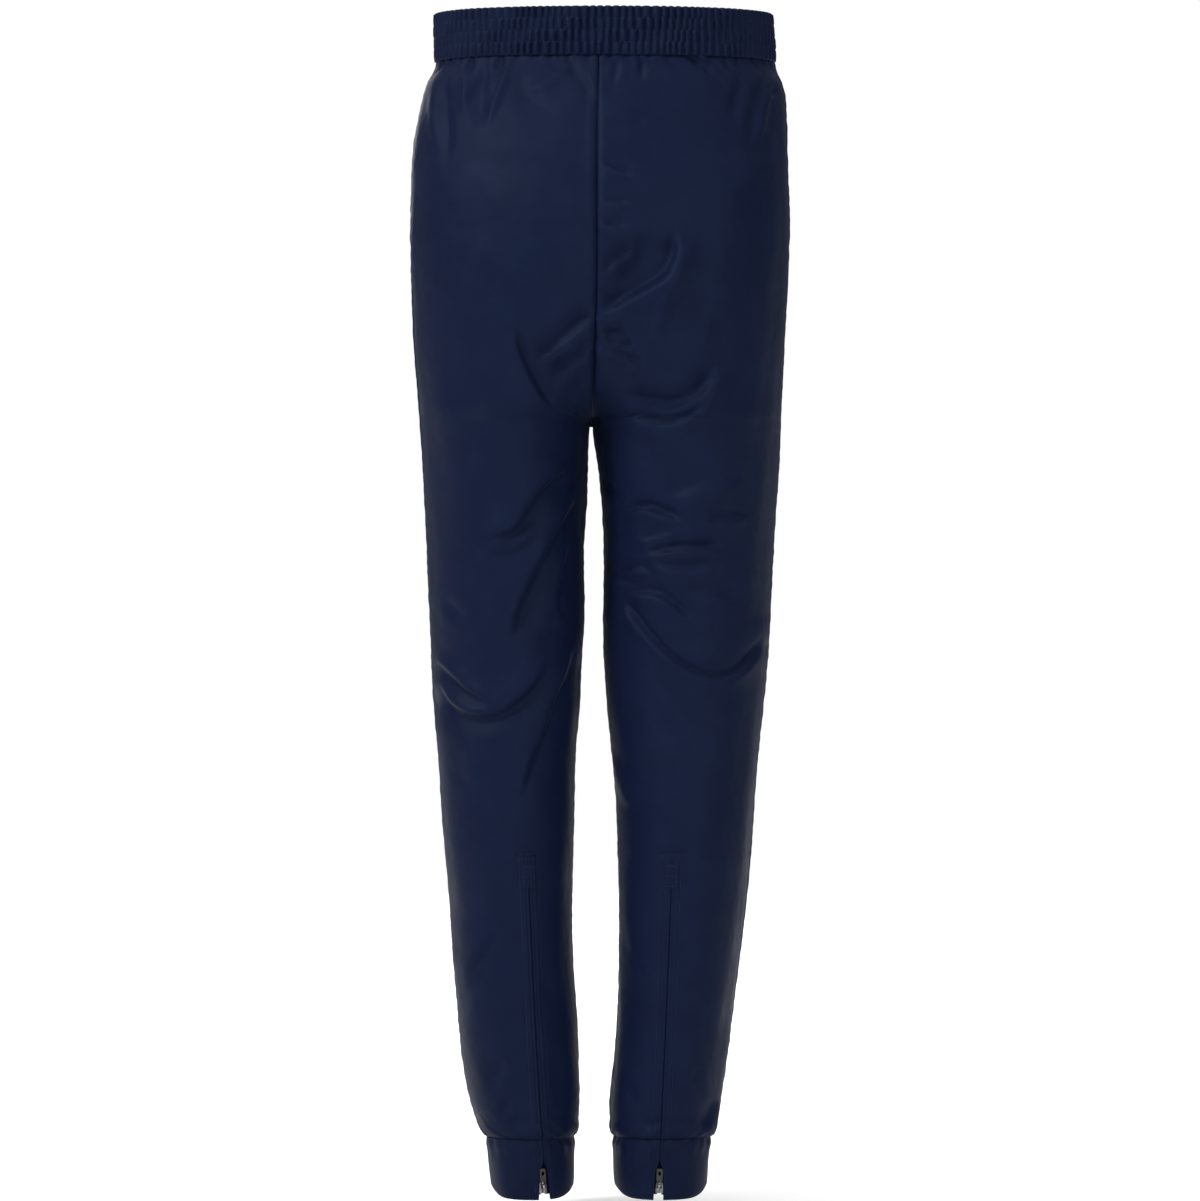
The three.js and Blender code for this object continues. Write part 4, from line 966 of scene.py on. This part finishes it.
# ---------------------------------------------------------------- pocket bags, label, buttonholes
for name, k in ZIPS.items():
    side = k["side"]
    zs = zrange(-61, -261, 5.0)
    O, I, N_, UV = [], [], [], []
    for z in zs:
        q = row(side, z)[2]
        lo, hi = 0.29, 0.494
        t = (z + 61) / -200.0
        lo2 = lo + 0.06 * max(0, (t - 0.8) / 0.2) ** 2 + 0.05 * max(0, (0.12 - t) / 0.12) ** 2
        u = np.linspace(lo2, hi, 26)
        zz = np.full(u.shape, z)
        P, N = raw(side, u, zz), normals(side, u, zz)
        fall = np.sin(np.linspace(0, math.pi * 0.5, 26)) ** 0.5 * min(1, (1 - abs(2 * t - 1)) * 6) ** 0.5
        w = 0.8 * np.sin(zz / 17 + u * 30) + 0.5 * np.sin(zz / 7.1 - u * 60)
        O.append(P - N * (9.6 - 3.4 * fall + w * 0.5)[:, None])
        I.append(P - N * (10.4 + 3.6 * fall + w * 0.6)[:, None])
        N_.append(N); UV.append(np.stack([u * 500, zz], -1))
    bag = shell(f"pocket_bag_{name}_cloth", np.array(O), np.array(I), np.array(N_), np.array(UV))
    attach(bag, "root")
    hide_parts("pocket_bag_" + name)
    pieces["lining"].append(bag)
    # bar tacks at both ends of the pocket mouth
    lines = []
    for z in (-67, -204):
        q = row(side, z)[2]
        for dz in (-1.0, 0, 1.0):
            pts, nn = [], []
            for a in np.linspace(-4.5, 1.2, 6):
                p, n_ = on_cloth(name, "front", q + a, z + dz, 0.15)
                pts.append(p); nn.append(n_)
            lines.append((pts, nn))
    tack = stitch_mesh(f"pocket_bar_tacks_{name}", lines, pitch=1.5, length=1.35, r=0.26)
    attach(tack, "root")
    pieces["thread"].append(tack)
    # a round buttonhole in thread, at the front of the waistband
    lines = []
    x0 = 22.0 * side
    y0 = float(at("dm", -21) - at("dh", -21))
    verts = []
    for i in range(34):
        t = 2 * math.pi * i / 34
        cx, cz = math.cos(t), math.sin(t)
        off = 4.2 * np.sign(cz) if abs(cz) > 1e-6 else 0
        a = np.array([x0 + 2.0 * cx, y0 - 1.25, -21 + off + 2.0 * cz])
        b = np.array([x0 + 3.7 * cx, y0 - 1.0, -21 + off + 3.7 * cz])
        lines.append((np.array([a, (a + b) / 2 + [0, -0.25, 0], b]), np.array([[0, -1.0, 0]] * 3)))
    hole = stitch_mesh(f"drawcord_buttonhole_{name}_stitching", lines, pitch=3, length=1.35, r=0.3, lift=0.15)
    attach(hole, "root")
    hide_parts("drawcord_buttonhole_" + name)
    pieces["thread"].append(hole)

xs, zz = np.linspace(-14, 18, 17), np.linspace(-31, -66, 15)
O = np.array([[(x, 89.0 - 0.9 * math.sin((z + 31) / -35 * math.pi) + 0.3 * math.sin(x / 6), z) for x in xs] for z in zz])
Nl = np.broadcast_to(np.array([0, -1.0, 0]), O.shape)
label = shell("size_label_cloth", O, O + np.array([0, 0.35, 0]), Nl, O[..., [0, 2]])
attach(label, "root")
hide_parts("size_label")

# ---------------------------------------------------------------- materials
def material(name, base, rough, metal=0.0, **more):
    m = bpy.data.materials.new(name)
    m.use_nodes = True
    nt = m.node_tree
    b = nt.nodes["Principled BSDF"]
    b.inputs["Base Color"].default_value = (*base, 1)
    b.inputs["Roughness"].default_value = rough
    b.inputs["Metallic"].default_value = metal
    for k_, v in more.items():
        b.inputs[k_].default_value = v
    return m, nt, b


def noise_colour(nt, b, lo, hi, scale, detail=3.0, coord="Object", stretch=(1, 1, 1)):
    tc = nt.nodes.new("ShaderNodeTexCoord")
    mp = nt.nodes.new("ShaderNodeMapping")
    mp.inputs["Scale"].default_value = stretch
    n = nt.nodes.new("ShaderNodeTexNoise")
    n.inputs["Scale"].default_value = scale
    n.inputs["Detail"].default_value = detail
    r = nt.nodes.new("ShaderNodeValToRGB")
    r.color_ramp.elements[0].position, r.color_ramp.elements[1].position = 0.32, 0.7
    r.color_ramp.elements[0].color, r.color_ramp.elements[1].color = (*lo, 1), (*hi, 1)
    nt.links.new(tc.outputs[coord], mp.inputs["Vector"])
    nt.links.new(mp.outputs["Vector"], n.inputs["Vector"])
    nt.links.new(n.outputs["Fac"], r.inputs["Fac"])
    nt.links.new(r.outputs["Color"], b.inputs["Base Color"])
    return tc, n


def knit_bump(nt, b, tc, wale, course, strength, distance, coord="UV"):
    """Wales and courses of a warp knit, from the cloth's own coordinates in metres."""
    mp = nt.nodes.new("ShaderNodeMapping")
    mp.inputs["Scale"].default_value = (1 / wale, 1 / course, 1 / wale)
    w1 = nt.nodes.new("ShaderNodeTexWave")
    w1.bands_direction = "X"
    w1.inputs["Scale"].default_value = 1 / (2 * math.pi) * 2.0
    w1.inputs["Distortion"].default_value = 0.6
    w1.inputs["Detail"].default_value = 1.0
    w1.inputs["Detail Scale"].default_value = 1.5
    w2 = nt.nodes.new("ShaderNodeTexWave")
    w2.bands_direction = "DIAGONAL"
    w2.inputs["Scale"].default_value = 1 / (2 * math.pi) * 2.0
    w2.inputs["Distortion"].default_value = 0.4
    add = nt.nodes.new("ShaderNodeMath")
    add.operation = "MULTIPLY_ADD"
    add.inputs[1].default_value = 0.45
    n = nt.nodes.new("ShaderNodeTexNoise")
    n.inputs["Scale"].default_value = 3.0
    n.inputs["Detail"].default_value = 2.0
    add2 = nt.nodes.new("ShaderNodeMath")
    add2.operation = "MULTIPLY_ADD"
    add2.inputs[1].default_value = 0.35
    bump = nt.nodes.new("ShaderNodeBump")
    bump.inputs["Strength"].default_value = strength
    bump.inputs["Distance"].default_value = distance
    nt.links.new(tc.outputs[coord], mp.inputs["Vector"])
    for w in (w1, w2, n):
        nt.links.new(mp.outputs["Vector"], w.inputs["Vector"])
    nt.links.new(w2.outputs["Fac"], add.inputs[0])
    nt.links.new(w1.outputs["Fac"], add.inputs[2])
    nt.links.new(n.outputs["Fac"], add2.inputs[0])
    nt.links.new(add.outputs[0], add2.inputs[2])
    nt.links.new(add2.outputs[0], bump.inputs["Height"])
    nt.links.new(bump.outputs["Normal"], b.inputs["Normal"])


def rough_noise(nt, b, tc, lo, hi, scale):
    n = nt.nodes.new("ShaderNodeTexNoise")
    n.inputs["Scale"].default_value = scale
    n.inputs["Detail"].default_value = 3.0
    r = nt.nodes.new("ShaderNodeMapRange")
    r.inputs["From Min"].default_value, r.inputs["From Max"].default_value = 0.3, 0.7
    r.inputs["To Min"].default_value, r.inputs["To Max"].default_value = lo, hi
    nt.links.new(tc.outputs["Object"], n.inputs["Vector"])
    nt.links.new(n.outputs["Fac"], r.inputs["Value"])
    nt.links.new(r.outputs["Result"], b.inputs["Roughness"])


def cloth(name, lo, hi, rough, sheen, wale=0.00085, course=0.0011, bump=0.35, dist=0.00018, ior=0.045):
    m, nt, b = material(name, hi, rough[0], **{"Sheen Weight": sheen, "Sheen Roughness": 0.42, "Sheen Tint": (0.70, 0.88, 1.0, 1), "Specular IOR Level": ior, "Specular Tint": (0.80, 1.0, 1.0, 1)})
    tc, _ = noise_colour(nt, b, lo, hi, 38.0, 4.0)
    rough_noise(nt, b, tc, rough[0], rough[1], 25.0)
    knit_bump(nt, b, tc, wale, course, bump, dist)
    return m


TRICOT = cloth("navy_tricot", (0.0025, 0.0047, 0.0180), (0.0031, 0.0058, 0.0208), (0.42, 0.52), 0.015)
BAND = cloth("navy_band", (0.0023, 0.0044, 0.0172), (0.0029, 0.0055, 0.0200), (0.44, 0.54), 0.015)
KNIT = cloth("navy_cuff", (0.0023, 0.0043, 0.0168), (0.0029, 0.0053, 0.0194), (0.46, 0.56), 0.015, wale=0.0012, bump=0.5)
LINING = cloth("navy_lining", (0.0024, 0.0044, 0.0180), (0.0032, 0.0056, 0.0220), (0.7, 0.8), 0.05, wale=0.0016, course=0.0016, bump=0.6, dist=0.0003)
TAPE = cloth("zip_tape_weave", (0.0022, 0.0042, 0.0170), (0.0030, 0.0054, 0.0215), (0.6, 0.7), 0.05, wale=0.0011, course=0.0007, bump=0.6)
ELASTIC = cloth("elastic_weave", (0.004, 0.005, 0.012), (0.006, 0.008, 0.018), (0.7, 0.8), 0.05, wale=0.0016, course=0.0022, bump=0.8, dist=0.0004)
LABEL, nt, b = material("label_weave", (0.55, 0.55, 0.53), 0.75)
tc, _ = noise_colour(nt, b, (0.50, 0.50, 0.48), (0.60, 0.60, 0.58), 300.0)
knit_bump(nt, b, tc, 0.0006, 0.0006, 0.4, 0.0001)
THREAD, nt, b = material("thread", (0.0050, 0.0084, 0.0270), 0.42, **{"Specular IOR Level": 0.16})
tc, _ = noise_colour(nt, b, (0.0042, 0.0072, 0.0235), (0.0058, 0.0096, 0.0300), 900.0)
COIL, nt, b = material("zip_coil_nylon", (0.0040, 0.0066, 0.0230), 0.34, **{"Specular IOR Level": 0.25})
noise_colour(nt, b, (0.0034, 0.0058, 0.0210), (0.0048, 0.0078, 0.0265), 500.0)
METAL, nt, b = material("slider_metal", (0.42, 0.42, 0.43), 0.34, 1.0)
tc, _ = noise_colour(nt, b, (0.13, 0.13, 0.134), (0.26, 0.26, 0.265), 420.0, 5.0)
rough_noise(nt, b, tc, 0.26, 0.46, 700.0)
PULL, nt, b = material("pull_metal", (0.030, 0.030, 0.031), 0.40, 0.6, **{"Specular IOR Level": 0.3})
tc, _ = noise_colour(nt, b, (0.024, 0.024, 0.025), (0.040, 0.040, 0.041), 600.0, 5.0)
rough_noise(nt, b, tc, 0.34, 0.52, 900.0)

for kind, m in (("tricot", TRICOT), ("knit", KNIT), ("thread", THREAD), ("lining", LINING), ("tape", TAPE), ("coil", COIL), ("band", BAND)):
    for o in pieces[kind]:
        o.data.materials.clear()
        o.data.materials.append(m)
label.data.materials.append(LABEL)


def repaint(node, m):
    o = frame["nodes"][node]
    o.data.materials.clear()
    o.data.materials.append(m)


for n, m in (("waistband_elastic", ELASTIC), ("zip_slider_left", METAL), ("zip_slider_right", METAL), ("zip_pull_left", PULL), ("zip_pull_right", PULL)):
    repaint(n, m)


# the sliders and pulls keep the CAD's shape, with their edges eased
for name in ZIPS:
    for part, m, body, w in (("slider", METAL, "zip_slider_", 0.00022), ("pull", PULL, "zip_pull_", 0.00020)):
        src = frame["nodes"][f"zip_{part}_{name}"]
        me = src.data.copy()
        o = bpy.data.objects.new(f"zip_{part}_{name}_finished", me)
        bpy.context.scene.collection.objects.link(o)
        import bmesh
        bm = bmesh.new()
        bm.from_mesh(me)
        bmesh.ops.remove_doubles(bm, verts=bm.verts, dist=1e-6)
        bmesh.ops.dissolve_limit(bm, angle_limit=math.radians(4), verts=bm.verts, edges=bm.edges)
        bm.to_mesh(me)
        bm.free()
        mod = o.modifiers.new("edges", "BEVEL")
        mod.width, mod.segments, mod.limit_method, mod.angle_limit = w, 2, "ANGLE", math.radians(35)
        mod.use_clamp_overlap = True
        deps = bpy.context.evaluated_depsgraph_get()
        done = bpy.data.meshes.new_from_object(o.evaluated_get(deps))
        o.modifiers.clear()
        o.data = done
        for p in done.polygons:
            p.use_smooth = True
        done.materials.clear()
        done.materials.append(m)
        try:
            done.set_sharp_from_angle(angle=math.radians(40))
        except Exception:
            pass
        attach(o, body + name)
        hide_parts(f"zip_{part}_{name}")

# ---------------------------------------------------------------- the area of a closed piece of cloth, half the sum of its faces
def area_of(o):
    me = o.data
    a = np.zeros(len(me.polygons))
    me.polygons.foreach_get("area", a)
    return a.sum() / 2


# ---------------------------------------------------------------- camera, lights, floor
cam = bpy.data.cameras.new("camera")
cam_o = bpy.data.objects.new("camera", cam)
bpy.context.scene.collection.objects.link(cam_o)
cam_o.location = (0, VIEW_D_MM / 1000, VIEW_Z_MM / 1000)
cam_o.rotation_euler = (math.radians(90), 0, math.radians(180))
cam.sensor_width = 36
cam.lens = 36 * VIEW_D_MM / (1201 * VIEW_MM)
cam.clip_end = 60
bpy.context.scene.camera = cam_o


def lamp(name, where, aim, size, watts, colour=(1, 1, 1), size_y=None):
    d = bpy.data.lights.new(name, "AREA")
    d.energy, d.color = watts, colour
    d.shape = "RECTANGLE" if size_y else "SQUARE"
    d.size = size
    if size_y:
        d.size_y = size_y
    o = bpy.data.objects.new(name, d)
    bpy.context.scene.collection.objects.link(o)
    o.location = where
    from mathutils import Vector
    o.rotation_euler = (Vector(aim) - Vector(where)).to_track_quat("-Z", "Y").to_euler()
    return o


lamp("key", (2.3, 1.8, 1.3), (0, 0, -0.5), 0.8, 96, size_y=1.4)
lamp("fill", (-1.4, 3.2, 0.2), (0, 0, -0.5), 1.6, 44)
lamp("front_key", (0.7, -3.6, 0.8), (0, 0, -0.45), 1.0, 40, size_y=1.6)
lamp("top", (0.2, 0.5, 2.4), (0, 0, -0.3), 1.6, 26)
lamp("backdrop", (0, -6.2, 1.8), (0, -6.6, -1.06), 4.5, 120)

world = bpy.data.worlds.new("studio")
bpy.context.scene.world = world
world.use_nodes = True
wn = world.node_tree
bg = wn.nodes["Background"]
bg.inputs["Color"].default_value = (1, 1, 1, 1)
around = wn.nodes.new("ShaderNodeTexCoord")
split = wn.nodes.new("ShaderNodeSeparateXYZ")
grade = wn.nodes.new("ShaderNodeMapRange")
grade.inputs["From Min"].default_value, grade.inputs["From Max"].default_value = -0.6, 0.8
grade.inputs["To Min"].default_value, grade.inputs["To Max"].default_value = 0.10, 0.60
wn.links.new(around.outputs["Generated"], split.inputs[0])
wn.links.new(split.outputs["Y"], grade.inputs["Value"])
over = wn.nodes.new("ShaderNodeMapRange")
over.inputs["From Min"].default_value, over.inputs["From Max"].default_value = 0.25, 1.0
over.inputs["To Min"].default_value, over.inputs["To Max"].default_value = 0.0, 1.0
both = wn.nodes.new("ShaderNodeMath")
both.operation = "ADD"
wn.links.new(split.outputs["Z"], over.inputs["Value"])
wn.links.new(grade.outputs["Result"], both.inputs[0])
wn.links.new(over.outputs["Result"], both.inputs[1])
wn.links.new(both.outputs[0], bg.inputs["Strength"])
seen = wn.nodes.new("ShaderNodeBackground")
seen.inputs["Color"].default_value = (1, 1, 1, 1)
seen.inputs["Strength"].default_value = 1.0
path_node = wn.nodes.new("ShaderNodeLightPath")
mix = wn.nodes.new("ShaderNodeMixShader")
wn.links.new(path_node.outputs["Is Camera Ray"], mix.inputs["Fac"])
wn.links.new(bg.outputs["Background"], mix.inputs[1])
wn.links.new(seen.outputs["Background"], mix.inputs[2])
wn.links.new(mix.outputs["Shader"], wn.nodes["World Output"].inputs["Surface"])

floor_z = cad_box[0][2] - 0.012
bpy.ops.mesh.primitive_plane_add(size=14, location=(0, 0, floor_z))
floor = bpy.context.object
floor.name = "floor"
fm, nt, b = material("floor_pale", (0.92, 0.92, 0.92), 0.9, **{"Specular IOR Level": 0.1})
noise_colour(nt, b, (0.91, 0.91, 0.91), (0.94, 0.94, 0.94), 3.0)
floor.data.materials.append(fm)

bpy.context.scene.view_settings.view_transform = "Standard"
bpy.context.scene.view_settings.look = "None"
